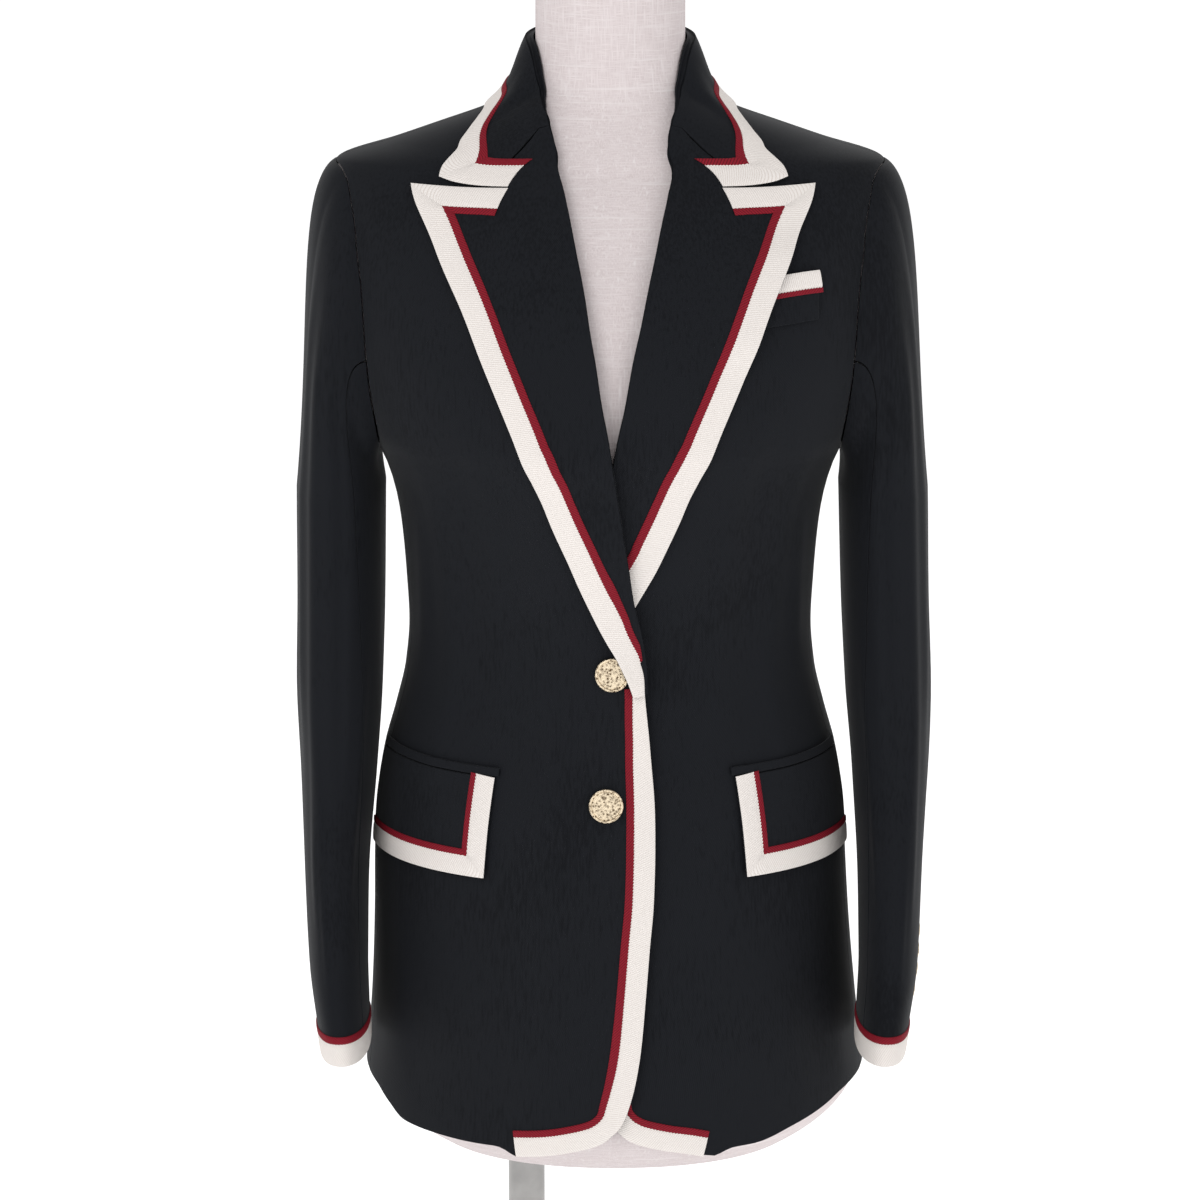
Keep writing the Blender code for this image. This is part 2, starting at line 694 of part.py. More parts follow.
def sleeve_points(side, place, down):
    """The sleeve's outer face. Down is 0 at the armhole, 1 at the biceps and 2 at the cuff."""
    place, down = np.broadcast_arrays(np.asarray(place, float), down)
    across = np.radians(place)
    middle_x = "right_x" if side == RIGHT else "left_x"

    def ring(height):
        wide, deep = (read(SLEEVE, c, height) for c in ("half_width", "half_depth"))
        cos, sin = np.cos(across), np.sin(across)
        power = 2 / SLEEVE_FULLNESS
        x = side * (read(SLEEVE, middle_x, height) + wide * np.sign(cos) * np.abs(cos) ** power)
        y = read(SLEEVE, "centre_y", height) - deep * np.sign(sin) * np.abs(sin) ** power
        return x, y

    height = SLEEVE_TOP + (CUFF_HEIGHT - SLEEVE_TOP) * np.clip(down - 1, 0, 1)
    x, y = ring(height)
    forward = CUFF_RISE * (read(SLEEVE, "centre_y", height) - y) * np.clip(down - 1, 0, 1)
    arm = np.stack([x, y, height + forward], -1)

    hole = armhole_point(side, place)
    normal = armhole_point(side, place, 1.0) - hole
    along = unit(armhole_point(side, place + 1) - armhole_point(side, place - 1))
    lean, head = (read(ARMHOLE, name, place % 360, key="place") for name in ("lean", "head"))
    away = unit(np.cross(normal, along)) * side
    lean = np.radians(lean)[..., None]
    under = (1 - np.cos(across)) / 2
    leaving = np.cos(lean) * away + np.sin(lean) * normal
    start = hole + (SEAM + 0.15) * leaving + UNDERARM_ROOM * (under**4)[..., None] * normal
    x, y = ring(SLEEVE_TOP + 0 * place)
    end = np.stack([x, y, SLEEVE_TOP + 0 * x], -1)
    pull = 110 * (1 - under) ** 1.2 + 9 * under
    inwards = np.stack([-0.11 * side * np.cos(across), 0 * across - 0.08, 1 + 0 * across], -1)
    one, two = start + head[..., None] * leaving, end + pull[..., None] * inwards
    t = np.clip(down, 0, 1)[..., None]
    cap = (1 - t) ** 3 * start + 3 * t * (1 - t) ** 2 * one + 3 * t * t * (1 - t) * two + t**3 * end
    return np.where((down < 1)[..., None], cap, arm)


def sleeve_shell(side, place, down, out=0.0):
    """The sleeve's face with its folds, moved out along its normal."""
    shape = np.broadcast(place, down).shape
    place, down = np.broadcast_to(place, shape), np.broadcast_to(down, shape)
    here = sleeve_points(side, place, down)
    nudge = 0.5
    side_step = sleeve_points(side, place + nudge, down) - sleeve_points(side, place - nudge, down)
    low, high = np.clip(down + 0.01, 0, 2), np.clip(down - 0.01, 0, 2)
    down_step = sleeve_points(side, place, low) - sleeve_points(side, place, high)
    normal = unit(np.cross(side_step, down_step)) * side
    depth = 0.0 * place
    for middle, width, deep, bottom, top in zip(*SLEEVE_FOLDS.values()):
        window = ramp(here[..., 2], bottom, bottom + 70) * (1 - ramp(here[..., 2], top - 70, top))
        apart = (place - middle + 180) % 360 - 180
        depth = depth + deep * np.exp(-((apart / width) ** 2)) * window
    return here + (out + depth)[..., None] * normal


def downs():
    arm = 1 + (SLEEVE_TOP - ARM_HEIGHTS) / (SLEEVE_TOP - CUFF_HEIGHT)
    return np.concatenate([CAP_SHARES, arm])


def sleeve_places(side, down):
    """Places across the top sleeve and the under sleeve, seam to seam, at each row down."""
    fall = np.clip(np.asarray(down, float) - 1, 0, 1)[:, None]
    front = FRONT_SEAM["top"] + (FRONT_SEAM["cuff"] - FRONT_SEAM["top"]) * fall
    elbow = ELBOW_SEAM["top"] + (ELBOW_SEAM["cuff"][side] - ELBOW_SEAM["top"]) * fall
    over, under = np.linspace(0, 1, 11), np.linspace(0, 1, 8)
    top = elbow - 360 + SLEEVE_GAP + (front + 360 - elbow - 2 * SLEEVE_GAP) * over
    return top, front + SLEEVE_GAP + (elbow - front - 2 * SLEEVE_GAP) * under


def make_sleeve(side, name):
    down = downs()
    for piece, place in zip(("top_sleeve", "under_sleeve"), sleeve_places(side, down)):
        outer = sleeve_shell(side, place, down[:, None])
        inner = sleeve_shell(side, place, down[:, None], -WALL)
        wall(f"{piece}_{name}", outer, inner, BODY_CLOTH)


# --- lapels and collar ----------------------------------------------------------------------

# The rows of the roll line that face the rows of LAPEL_EDGE.
LAPEL_ROLL_ROWS = np.array(
    [0.05, 1, 1.75, 2.6, 4, 5.4, 6.4, 7.3, 7.65, 8.1, 9.1, 10.1, 11.1, 12, 12.6, 13.2, 13.75]
    + [13.95, 14.15, 14.5, 15.6, 16.44]
)


LAPEL_TURN = (62,)  # its edge dips this far round the roll line and stops there


def lapel_path():
    return np.stack([LAPEL_EDGE["turn"], LAPEL_EDGE["height"]], -1)


def make_lapel(side, name):
    rows = LAPEL_ROLL_ROWS
    outer_fold, inner_fold = fold_columns(side, rows, LAPEL_TURN)
    start = moved(side, roll_path(rows), -0.75 * fold_radius(side, rows))
    grid = between(start, lapel_path(), [0.13, 0.33, 0.55, 0.78, 1.0])
    out = folded_out(side, grid[..., 0], grid[..., 1])
    outer = skin(side, grid[..., 0], grid[..., 1], out)
    inner = skin(side, grid[..., 0], grid[..., 1], out - WALL)
    outer, inner = np.concatenate([outer_fold, outer], 1), np.concatenate([inner_fold, inner], 1)
    wall(f"lapel_{name}", outer, inner, BODY_CLOTH)


# The collar's outer edge: its front end, its lower edge, its point, then round to the back.
# Hollow is how far the fall curves in towards the neck between its fold and its edge.
COLLAR_EDGE = table(
    "roll_row turn height hollow",
    (16.57, 16.1, 977.7, 0),
    (16.74, 21.5, 978.8, 0),
    (16.95, 27.5, 981.0, 0),
    (17.2, 33.4, 984.5, 0),
    (17.5, 35.6, 990.5, 0),
    (17.8, 38.8, 997, 0),
    (18.2, 43.5, 1002.8, 0),
    (18.7, 50.0, 1008.2, 0.5),
    (19.3, 59.0, 1013.4, 1.8),
    (20.3, 73.0, 1017.8, 3.4),
    (22.0, 90.0, 1020.3, 4.0),
    (22.55, 104.0, 1021.3, 3.4),
    (23.1, 119.0, 1021.8, 1.6),
    (23.6, 134.0, 1022.2, 0.4),
    (24.05, 149.0, 1022.5, 0),
    (24.5, 164.0, 1022.5, 0),
    (25.0, 180.0, 1022.5, 0),
)
TIP_ROW = 3
COLLAR_TURN = (-90, -38, 14, 62)  # the fall turns all the way under, on to its stand
COLLAR_SHARES = (0.15, 0.4, 0.64, 0.85, 1.0)


def both_sides(part_of, *given):
    """Joins the two halves of a grid that meets itself at the centre back."""
    return np.concatenate([part_of(RIGHT, *given), part_of(LEFT, *given)[-2::-1]])


def collar_edge():
    return np.stack([COLLAR_EDGE["turn"], COLLAR_EDGE["height"]], -1)


def collar_start(side):
    """Where the flat of the fall begins, just outside its fold."""
    rows = COLLAR_EDGE["roll_row"]
    return moved(side, roll_path(rows), -0.75 * fold_radius(side, rows))


def collar_lines(side):
    """The fall's straight lines beside and behind the neck: their ends and their normals."""
    rim = collar_edge()
    fold = fold_columns(side, COLLAR_EDGE["roll_row"], COLLAR_TURN)[0][:, -1]
    edge = skin(side, *rim.T, folded_out(side, *rim.T))
    upward = skin(side, *rim.T, 1.0) - skin(side, *rim.T)
    normal = unit(np.cross(edge - fold, np.gradient(edge, axis=0)))
    return fold, edge, normal * np.sign((normal * upward).sum(1))[:, None]


def collar_face(side, path, share, out=0.0):
    """A line of points along the collar's fall, at a share of the way from its fold to its edge.

    In front the fall lies on the chest, where path gives the (turn, height) of each point.
    Farther back it spans the hollow beside the neck, curving in between fold and edge.
    """
    fold, edge, normal = collar_lines(side)
    share = np.broadcast_to(share, len(edge))[:, None]
    hollow = COLLAR_EDGE["hollow"][:, None] * np.sin(np.pi * np.clip(share, 0, 1) ** 1.6)
    spanned = fold * (1 - share) + edge * share + (out - hollow) * normal
    laid = skin(side, *path.T, folded_out(side, *path.T) + out)
    spans = ramp(COLLAR_EDGE["roll_row"], 17.7, 19.2)[:, None]
    return laid * (1 - spans) + spanned * spans


def make_collar_fall():
    def half(side, out):
        start = collar_start(side)
        rim = collar_edge()
        lines = [collar_face(side, start + (rim - start) * s, s, out) for s in COLLAR_SHARES]
        fold = fold_columns(side, COLLAR_EDGE["roll_row"], COLLAR_TURN)[0 if out == 0 else 1]
        return np.concatenate([fold, np.stack(lines, 1)], 1)

    faces = [both_sides(half, out) for out in (0.0, -WALL)]
    wall("collar_fall", *faces, BODY_CLOTH)


# Rows of the roll line round the collar's stand, about 15 degrees apart.
STAND_ROWS = np.array(
    [16.85, 17.2, 17.6, 18, 18.6, 19.2, 20, 21, 22, 22.5, 23, 23.5, 24, 24.5, 25]
)


def make_collar_stand():
    def half(side, out):
        top = beside_roll(side, STAND_ROWS)
        bottom = np.stack([top[:, 0], read(NECKLINE, "height", top[:, 0], key="turn")], -1)
        grid = between(bottom, top, [0, 0.5, 1])
        return skin(side, grid[..., 0], grid[..., 1], out)

    wall("collar_stand", *(both_sides(half, out) for out in (0.0, -WALL)), BODY_CLOTH)


# --- pockets ------------------------------------------------------------------------------

FLAP_FRONT = {RIGHT: 27.8, LEFT: 30.6}  # turn of the flap's front edge
FLAP_BACK = 79.0
FLAP_TOP, FLAP_BOTTOM, FLAP_SLANT = 597.0, 531.0, 1.2
JET_HEIGHTS = (597.9, 603.4)
FLAP_CREAM, FLAP_BURGUNDY = 13.0, 4.5


def flap_path(side):
    """Down the flap's front edge and along its lower one."""
    top, bottom = FLAP_FRONT[side], FLAP_FRONT[side] + FLAP_SLANT
    front = np.array([[top, FLAP_TOP], [(top + bottom) / 2, (FLAP_TOP + FLAP_BOTTOM) / 2]])
    turns = np.linspace(bottom, FLAP_BACK, 12)
    return np.vstack([front, np.stack([turns, FLAP_BOTTOM + 0 * turns], -1)])


def laid_out(side, turn, height):
    """The outer face of a flap, jet or welt that lies on a front."""
    return panel_out(side, turn, height) + LAID + WALL


def make_flap(side, name):
    top = np.linspace(FLAP_FRONT[side], FLAP_BACK, 12)
    bottom = np.linspace(FLAP_FRONT[side] + FLAP_SLANT, FLAP_BACK, 12)
    upper = np.stack([top, FLAP_TOP + 0 * top], -1)
    lower = np.stack([bottom, FLAP_BOTTOM + 0 * bottom], -1)
    grid = between(lower, upper, np.linspace(0, 1, 4))
    sewn(f"pocket_flap_{name}", side, grid, laid_out)
    turns = np.linspace(FLAP_FRONT[side] - 0.8, FLAP_BACK, 12)
    strip = between(*(np.stack([turns, h + 0 * turns], -1) for h in JET_HEIGHTS), [0, 1])
    sewn(f"pocket_jet_{name}", side, strip, laid_out)


# The breast welt on the left front, part of it under the lapel.
WELT = table(
    "turn low high",
    (22.5, 892.9, 922.4),
    (26.0, 893.6, 923.6),
    (30.0, 894.5, 924.9),
    (35.8, 895.7, 926.2),
    (39.8, 896.4, 926.7),
)
WELT_LEAN = 2.2  # turns by which its ends lean outwards at the bottom
WELT_CREAM, WELT_BURGUNDY = 11.0, 3.6


def make_welt():
    low = np.stack([WELT["turn"] + WELT_LEAN, WELT["low"]], -1)
    high = np.stack([WELT["turn"], WELT["high"]], -1)
    grid = between(low, high, [0, 0.5, 1])
    sewn("breast_welt", LEFT, grid, laid_out)


# --- braid ----------------------------------------------------------------------------------

ON_CLOTH = 0.8  # between the braid and the cloth under it
EDGE_GAP = 0.4  # from the cloth's edge to the braid
BRAID_GAP = 0.25  # between the two colours


BRAID_END = np.array([0.15, -0.02])  # the slant of its ends at the gorge, turn and height per mm


def crossing(first, second):
    """The row numbers, with fractions, at which two paths of (turn, height) rows cross."""
    for i, (a, b) in enumerate(zip(first[:-1], first[1:])):
        for j, (c, d) in enumerate(zip(second[:-1], second[1:])):
            share, other = np.linalg.solve(np.array([b - a, c - d]).T, c - a)
            if 0 <= share <= 1 and 0 <= other <= 1:
                return i + share, j + other
    raise ValueError("the two legs of a braid never meet")


def inside(side, path, corner, amount):
    """A path moved across itself, with the rows beyond its sharp corner's mitre drawn in.

    Corner is the row number of the one sharp corner, or None.
    """
    if corner is None:
        return moved(side, path, amount)
    first, second = moved(side, path[: corner + 1], amount), moved(side, path[corner:], amount)
    end, start = crossing(first, second)
    before = np.arange(corner + 1.0)
    after = np.arange(len(path) - corner + 0.0)
    before = np.minimum(before, end - 0.06 * (corner - before))
    after = np.maximum(after, start + 0.06 * after)
    legs = ((first, before), (second, after[1:]))
    pieces = [[np.interp(at, np.arange(len(leg)), column) for column in leg.T] for leg, at in legs]
    return np.concatenate(pieces, 1).T


def band(cream, burgundy):
    """How far in from the edge each colour of the braid begins and ends."""
    inner = cream + BRAID_GAP
    return (("cream", EDGE_GAP, cream, CREAM), ("burgundy", inner, inner + burgundy, BURGUNDY))


def braid_faces(side, near, far, under):
    """The outer and inner face of a strip of braid between two paths of one length."""
    grid = between(near, far, [0, 1])
    turn, height = grid[..., 0], grid[..., 1]
    out = under(side, turn, height) + ON_CLOTH
    return skin(side, turn, height, out + BRAID), skin(side, turn, height, out)


def trim(name, side, path, corner, under, inward, widths):
    """Cream braid along the inside of a path, and burgundy braid along the inside of that."""
    for colour, near, far, surface in band(*widths):
        edges = [inside(side, path, corner, inward * amount) for amount in (near, far)]
        wall(f"{name}_{colour}_braid", *braid_faces(side, *edges, under), surface)


# Turns from the roll line that the lapel's braid keeps to, above the break, by its distance
# from the edge: the cream ends there and the burgundy fills what is left.
ROLL_ROOM = {EDGE_GAP: 0.0, CREAM_WIDTH: 1.9, CREAM_WIDTH + BRAID_GAP: 1.5}
ROLL_ROOM[CREAM_WIDTH + BRAID_GAP + BURGUNDY_WIDTH] = 0.0


def make_lapel_braid(side, name):
    # near the break the lapel is narrower than its braid, which ends short of the roll line
    path = lapel_path()[: GORGE_ROW + 1]
    for colour, near, far, surface in band(CREAM_WIDTH, BURGUNDY_WIDTH):
        edges = []
        for amount in (near, far):
            edge = inside(side, path, PEAK_ROW, amount)
            edge[-1] += BRAID_END * amount
            roll = np.interp(edge[:, 1], ROLL["height"][:LAPEL_END_ROW], ROLL["turn"][:LAPEL_END_ROW])
            room = ROLL_ROOM[amount] * ramp(edge[:, 1], 664, 688) + 0.4
            edges.append(np.stack([np.maximum(edge[:, 0], roll + room), edge[:, 1]], -1))
        kept = (path[:, 1] > 740) | (edges[0][:, 0] - edges[1][:, 0] > 0.5)
        faces = braid_faces(side, edges[0][kept], edges[1][kept], folded_out)
        wall(f"lapel_{name}_{colour}_braid", *faces, surface)


def make_collar_braid():
    path = collar_edge()

    def half(side, near, far, out):
        fold, edge, _ = collar_lines(side)
        width = np.linalg.norm(edge - fold, axis=1)
        start = collar_start(side)
        behind = ramp(COLLAR_EDGE["roll_row"], 17.5, 18.2)[:, None]
        lines = []
        for amount in (near, far):
            share = 1 - amount / width
            line = inside(side, path, TIP_ROW, amount)
            line[0] -= BRAID_END * amount
            across = start + (path - start) * share[:, None]
            line = line * (1 - behind) + across * behind
            lines.append(collar_face(side, line, share, ON_CLOTH + out))
        return np.stack(lines, 1)

    for colour, near, far, surface in band(CREAM_WIDTH, BURGUNDY_WIDTH):
        faces = [both_sides(half, near, far, out) for out in (BRAID, 0.0)]
        wall(f"collar_{colour}_braid", *faces, surface)


def make_edge_braid(side, name):
    path = np.stack([FRONT_EDGE["turn"], FRONT_EDGE["height"]], -1)
    path[0, 0] = HEM_END[side]
    trim(f"edge_{name}", side, path, None, panel_out, -1, (FRONT_EDGE["cream"], BURGUNDY_WIDTH))


def make_flap_braid(side, name):
    trim(f"flap_{name}", side, flap_path(side), 2, laid_out, 1, (FLAP_CREAM, FLAP_BURGUNDY))


def make_welt_braid():
    path = np.stack([WELT["turn"], WELT["high"]], -1)
    trim("welt", LEFT, path, None, laid_out, -1, (WELT_CREAM, WELT_BURGUNDY))


CUFF_BRAID = 1 / (SLEEVE_TOP - CUFF_HEIGHT)  # a millimetre up the sleeve, in sleeve_points' down


VENT_HEIGHTS = np.linspace(CREAM_WIDTH + BURGUNDY_WIDTH + 0.6, 82, 5)  # above the cuff


def beside_vent(side, down, places):
    """Places on the top sleeve measured from its elbow seam, where the vent is."""
    top = sleeve_places(side, np.atleast_1d(down))[0]
    return top[:, :1] + places


def make_cuff_braid(side, name):
    for colour, near, far, surface in band(CREAM_WIDTH, BURGUNDY_WIDTH):
        down = 2 - CUFF_BRAID * np.array([near, far])
        top, under = sleeve_places(side, down)
        place = np.concatenate([top, under[:, 1:]], 1)
        faces = [sleeve_shell(side, place, down[:, None], ON_CLOTH + up) for up in (BRAID, 0)]
        wall(f"cuff_{name}_{colour}_braid", *faces, surface)
    down = 2 - CUFF_BRAID * VENT_HEIGHTS
    place = beside_vent(side, down, np.array([0.3, 3.2]))
    faces = [sleeve_shell(side, place, down[:, None], ON_CLOTH + up) for up in (BRAID, 0)]
    wall(f"vent_{name}_burgundy_braid", *faces, BURGUNDY)


# --- buttons --------------------------------------------------------------------------------

FRONT_BUTTON = {"radius": 11.25, "thick": 2.6, "around": 24}
CUFF_BUTTON = {"radius": 5.75, "thick": 2.2, "around": 12}
FRONT_BUTTONS = (("upper", -0.35, 669.5), ("lower", 0.75, 583.0))
CUFF_BUTTON_HEIGHTS = (31.0, 43.0, 55.0, 67.0)  # above the cuff, up the sleeve
CUFF_BUTTON_PLACE = 10.5
BUTTON_GAP = 0.45  # between a button's back and the cloth


def button(name, at, outward, radius, thick, around):
    """A metal button with a rim round a slightly hollow face."""
    profile = [
        (radius * 0.9, 0),
        (radius, thick * 0.5),
        (radius * 0.94, thick),
        (radius * 0.8, thick * 0.86),
    ]
    placed(turned(name, profile, around, GOLD), at, outward)


def make_front_buttons():
    for name, turn, height in FRONT_BUTTONS:
        out = panel_out(RIGHT, turn, height) + BUTTON_GAP
        at, further = skin(RIGHT, turn, height, out), skin(RIGHT, turn, height, out + 1.0)
        button(f"front_button_{name}", at, further - at, **FRONT_BUTTON)


def make_cuff_buttons(side, name):
    for number, height in enumerate(CUFF_BUTTON_HEIGHTS, 1):
        down = 2 - CUFF_BRAID * height
        place = beside_vent(side, down, np.array([CUFF_BUTTON_PLACE]))[0, 0]
        at, further = (sleeve_shell(side, place, down, BUTTON_GAP + up) for up in (0, 1))
        button(f"cuff_button_{name}_{number}", at, further - at, **CUFF_BUTTON)


# --- dress form and stand -------------------------------------------------------------------

NECK_TOP = 1104.0
FORM_RINGS = np.array(
    [372, 430, 500, 570, 625, 680, 725, 765, 800, 845, 900, 940, 965, 980, 988]
    + [995, 1003, 1011, 1019, 1027, 1038, 1060, NECK_TOP]
)
# The room between the cloth's inner face and the form: it rests on the shoulders.
FORM_ROOM = table(
    "height room",
    (370, 3.4),
    (880, 3.4),
    (940, 2.2),
    (982, 2.0),
    (994, 0.9),
    (1008, 0.9),
    (1025, 1.3),
    (1110, 1.3),
)
# The form's rounded lower edge, as shares of its lowest full ring.
FORM_FOOT = table("height share", (324, 0.72), (326, 0.84), (334, 0.925), (349, 0.975))
FORM_AROUND = 28
POLE_X, POLE_RADIUS = -57.5, 12.5
BASE_RADIUS, BASE_THICK = 160.0, 12.0
STAND_GAP = 0.3


def form_ring(height):
    """A level ring of the form, inside the jacket's surface."""
    turns = np.linspace(0, 360, FORM_AROUND, endpoint=False)
    signed = np.where(turns <= 180, turns, turns - 360)
    return skin(RIGHT, signed, height, -WALL - read(FORM_ROOM, "room", height))


def make_form():
    rings = [form_ring(height) for height in FORM_RINGS]
    rings[0][:, 2], rings[-1][:, 2] = FORM_RINGS[0], NECK_TOP
    middle = rings[0].mean(0)
    foot = []
    for height, share in zip(*FORM_FOOT.values()):
        ring = middle + (rings[0] - middle) * share
        ring[:, 2] = height
        foot.append(ring)
    solid_of_rings("form_body", np.array(foot + rings), LINEN)
    cap = []
    for rise, share in ((STAND_GAP, 1.0), (6.0, 1.0), (9.5, 0.9)):
        cap.append(rings[-1] * (share, share, 0) + (0, 0, NECK_TOP + rise))
    solid_of_rings("form_neck_cap", np.array(cap), LINEN)


def make_stand():
    top = FORM_FOOT["height"][0]
    foot = BASE_THICK + STAND_GAP
    flange_top = foot + 16
    pole_top = top - 24
    base = [(BASE_RADIUS - 3, 0), (BASE_RADIUS, 3), (BASE_RADIUS, 8), (BASE_RADIUS - 4, BASE_THICK)]
    flange = [(30, foot), (30, foot + 4), (20, foot + 9), (18, flange_top)]
    pole = [(POLE_RADIUS, flange_top + STAND_GAP), (POLE_RADIUS, pole_top)]
    socket = [(14, pole_top + STAND_GAP), (14, pole_top + 4), (17.5, top - STAND_GAP)]
    turned("stand_base", base, 40, STEEL)
    for name, profile in (("flange", flange), ("pole", pole), ("socket", socket)):
        placed(turned(f"stand_{name}", profile, 24, STEEL), (POLE_X, 0, 0))


# --- what is made, in order -------------------------------------------------------------------


def main():
    for side, name in SIDES:
        make_front(side, name)
        make_side(side, name)
        make_back(side, name)
        make_sleeve(side, name)
        make_lapel(side, name)
        make_flap(side, name)
        make_lapel_braid(side, name)
        make_edge_braid(side, name)
        make_flap_braid(side, name)
        make_cuff_braid(side, name)
        make_cuff_buttons(side, name)
    make_collar_fall()
    make_collar_stand()
    make_collar_braid()
    make_welt()
    make_welt_braid()
    make_front_buttons()
    make_form()
    make_stand()


main()
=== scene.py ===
"""The looks of a tailored jacket with contrast braid, worn by a limbless dress form on a short stand.

Sizes are in millimetres and become metres where a mesh is made, and materials work in metres.
The front of the jacket faces -Y, so the wearer's right side is at -X. The cloth follows one
surface, skin(), on which a place is a turn (degrees from the centre front, 90 at the side, 180
at the centre back, below 0 past the centre) and a height.
"""

import bmesh
import bpy
import numpy as np
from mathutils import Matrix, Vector


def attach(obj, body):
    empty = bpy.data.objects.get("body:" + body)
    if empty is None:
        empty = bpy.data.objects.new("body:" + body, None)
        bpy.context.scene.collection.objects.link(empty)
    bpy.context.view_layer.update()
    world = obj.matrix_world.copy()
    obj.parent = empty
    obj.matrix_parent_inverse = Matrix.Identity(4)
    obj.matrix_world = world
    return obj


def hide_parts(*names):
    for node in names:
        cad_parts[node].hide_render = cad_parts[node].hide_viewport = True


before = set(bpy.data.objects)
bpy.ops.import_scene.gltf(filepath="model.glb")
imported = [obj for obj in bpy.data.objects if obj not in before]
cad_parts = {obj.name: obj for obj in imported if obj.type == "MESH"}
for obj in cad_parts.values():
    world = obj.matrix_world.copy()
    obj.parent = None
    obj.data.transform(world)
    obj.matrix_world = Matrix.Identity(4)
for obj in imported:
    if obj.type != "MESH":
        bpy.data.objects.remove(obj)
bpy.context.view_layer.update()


# --- the stand ------------------------------------------------------------------------------
# A turned steel base, a flange, a pole and the socket that holds the form. They are spun from
# one profile each and brushed, and the pole stands off centre as the form's own socket does.

MM = 0.001
SHARP_ANGLE = 50  # edges that turn by more degrees than this are shaded sharp


def add_piece(node, points, faces, surface, uv=None):
    """A closed mesh that stands for a CAD node, its faces turned outwards.

    Points are in millimetres. The pattern's places, uv, are in metres, one for each point.
    """
    mesh = bpy.data.meshes.new(node)
    mesh.from_pydata((np.asarray(points).reshape(-1, 3) * MM).tolist(), [], faces)
    if uv is not None:
        corners = np.empty(len(mesh.loops), np.int32)
        mesh.loops.foreach_get("vertex_index", corners)
        places = mesh.uv_layers.new(name="pattern")
        places.data.foreach_set("uv", uv.reshape(-1, 2)[corners].ravel())
    form = bmesh.new()
    form.from_mesh(mesh)
    bmesh.ops.recalc_face_normals(form, faces=form.faces)
    if form.calc_volume(signed=True) < 0:
        bmesh.ops.reverse_faces(form, faces=form.faces)
    form.to_mesh(mesh)
    form.free()
    mesh.shade_smooth()
    mesh.set_sharp_from_angle(angle=np.radians(SHARP_ANGLE))
    mesh.materials.append(surface)
    piece = bpy.data.objects.new(f"{node}_finished", mesh)
    bpy.context.scene.collection.objects.link(piece)
    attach(piece, "root")
    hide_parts(node)
    return piece


def rings_piece(node, rings, surface):
    """A solid from rings of points, one above the other, closed by a flat face at each end."""
    count, around = rings.shape[:2]
    index = np.arange(count * around).reshape(count, around)
    after = np.roll(index, -1, axis=1)
    sides = np.stack([index[:-1], after[:-1], after[1:], index[1:]], -1).reshape(-1, 4)
    ends = [index[0].tolist(), index[-1].tolist()]
    return add_piece(node, rings, sides.tolist() + ends, surface)


def spun(profile, around=96):
    """Rings about the Z axis from (radius, height) rows: radius times the cosine and sine."""
    angles = np.linspace(0, 2 * np.pi, around, endpoint=False)
    radius, height = np.asarray(profile, float).T
    x, y = radius[:, None] * np.cos(angles), radius[:, None] * np.sin(angles)
    return np.stack([x, y, height[:, None] + 0 * x], -1)


def rounded(profile, radius=1.0, steps=4):
    """A profile of (radius, height) rows with its inner corners cut by short arcs.

    Each corner becomes a curve from a point before it to one after it, pulled to the corner.
    """
    profile = np.asarray(profile, float)
    rows = [profile[:1]]
    for before, corner, after in zip(profile[:-2], profile[1:-1], profile[2:]):
        back, on = before - corner, after - corner
        reach = min(radius, 0.45 * np.hypot(*back), 0.45 * np.hypot(*on))
        start = corner + back / np.hypot(*back) * reach
        end = corner + on / np.hypot(*on) * reach
        t = np.linspace(0, 1, steps + 1)[:, None]
        rows.append((1 - t) ** 2 * start + 2 * t * (1 - t) * corner + t * t * end)
    return np.vstack(rows + [profile[-1:]])


def new_material(name, colour, roughness, metallic=0.0, **sockets):
    """A Principled material, with two functions of its own.

    The first adds a node, wired or set by its inputs, and the second wires a value to a socket
    of the shader. More sockets are set by name, with _ for each space.
    """
    made = bpy.data.materials.new(name)
    made.use_nodes = True
    tree = made.node_tree
    shader = tree.nodes["Principled BSDF"]
    shader.inputs["Base Color"].default_value = (*colour, 1.0)
    shader.inputs["Roughness"].default_value = roughness
    shader.inputs["Metallic"].default_value = metallic
    for socket, value in sockets.items():
        shader.inputs[socket.replace("_", " ")].default_value = value

    def add(kind, inputs=None, **settings):
        node = tree.nodes.new("ShaderNode" + kind)
        for key, value in settings.items():
            setattr(node, key, value)
        for key, value in (inputs or {}).items():
            if isinstance(value, bpy.types.NodeSocket):
                tree.links.new(value, node.inputs[key])
            else:
                node.inputs[key].default_value = value
        return node

    def wire(socket, value):
        tree.links.new(value, shader.inputs[socket])

    return made, add, wire


def colours_of(add, amount, *stops):
    """A colour ramp from (position, colour) stops."""
    ramp_node = add("ValToRGB", {"Fac": amount})
    row = ramp_node.color_ramp.elements
    while len(row) < len(stops):
        row.new(0.5)
    for element, (position, colour) in zip(row, stops):
        element.position = position
        element.color = (*colour, 1.0)
    return ramp_node.outputs["Color"]


def noise(add, place, scale, detail, stretch=None):
    """Noise from 0 to 1 at a place. A stretch, a scale for each direction, draws it into lines."""
    if stretch:
        place = add("Mapping", {"Vector": place, "Scale": stretch}).outputs["Vector"]
    return add("TexNoise", {"Vector": place, "Scale": scale, "Detail": detail}).outputs["Fac"]


def maths(add, operation, *values):
    """One step of arithmetic on node outputs and numbers, by the name of its operation."""
    return add("Math", dict(enumerate(values)), operation=operation).outputs[0]


def rescaled(add, value, **ends):
    """A value carried in a straight line from one range to another."""
    named = {end.replace("_", " "): at for end, at in ends.items()}
    return add("MapRange", {"Value": value, **named}).outputs["Result"]


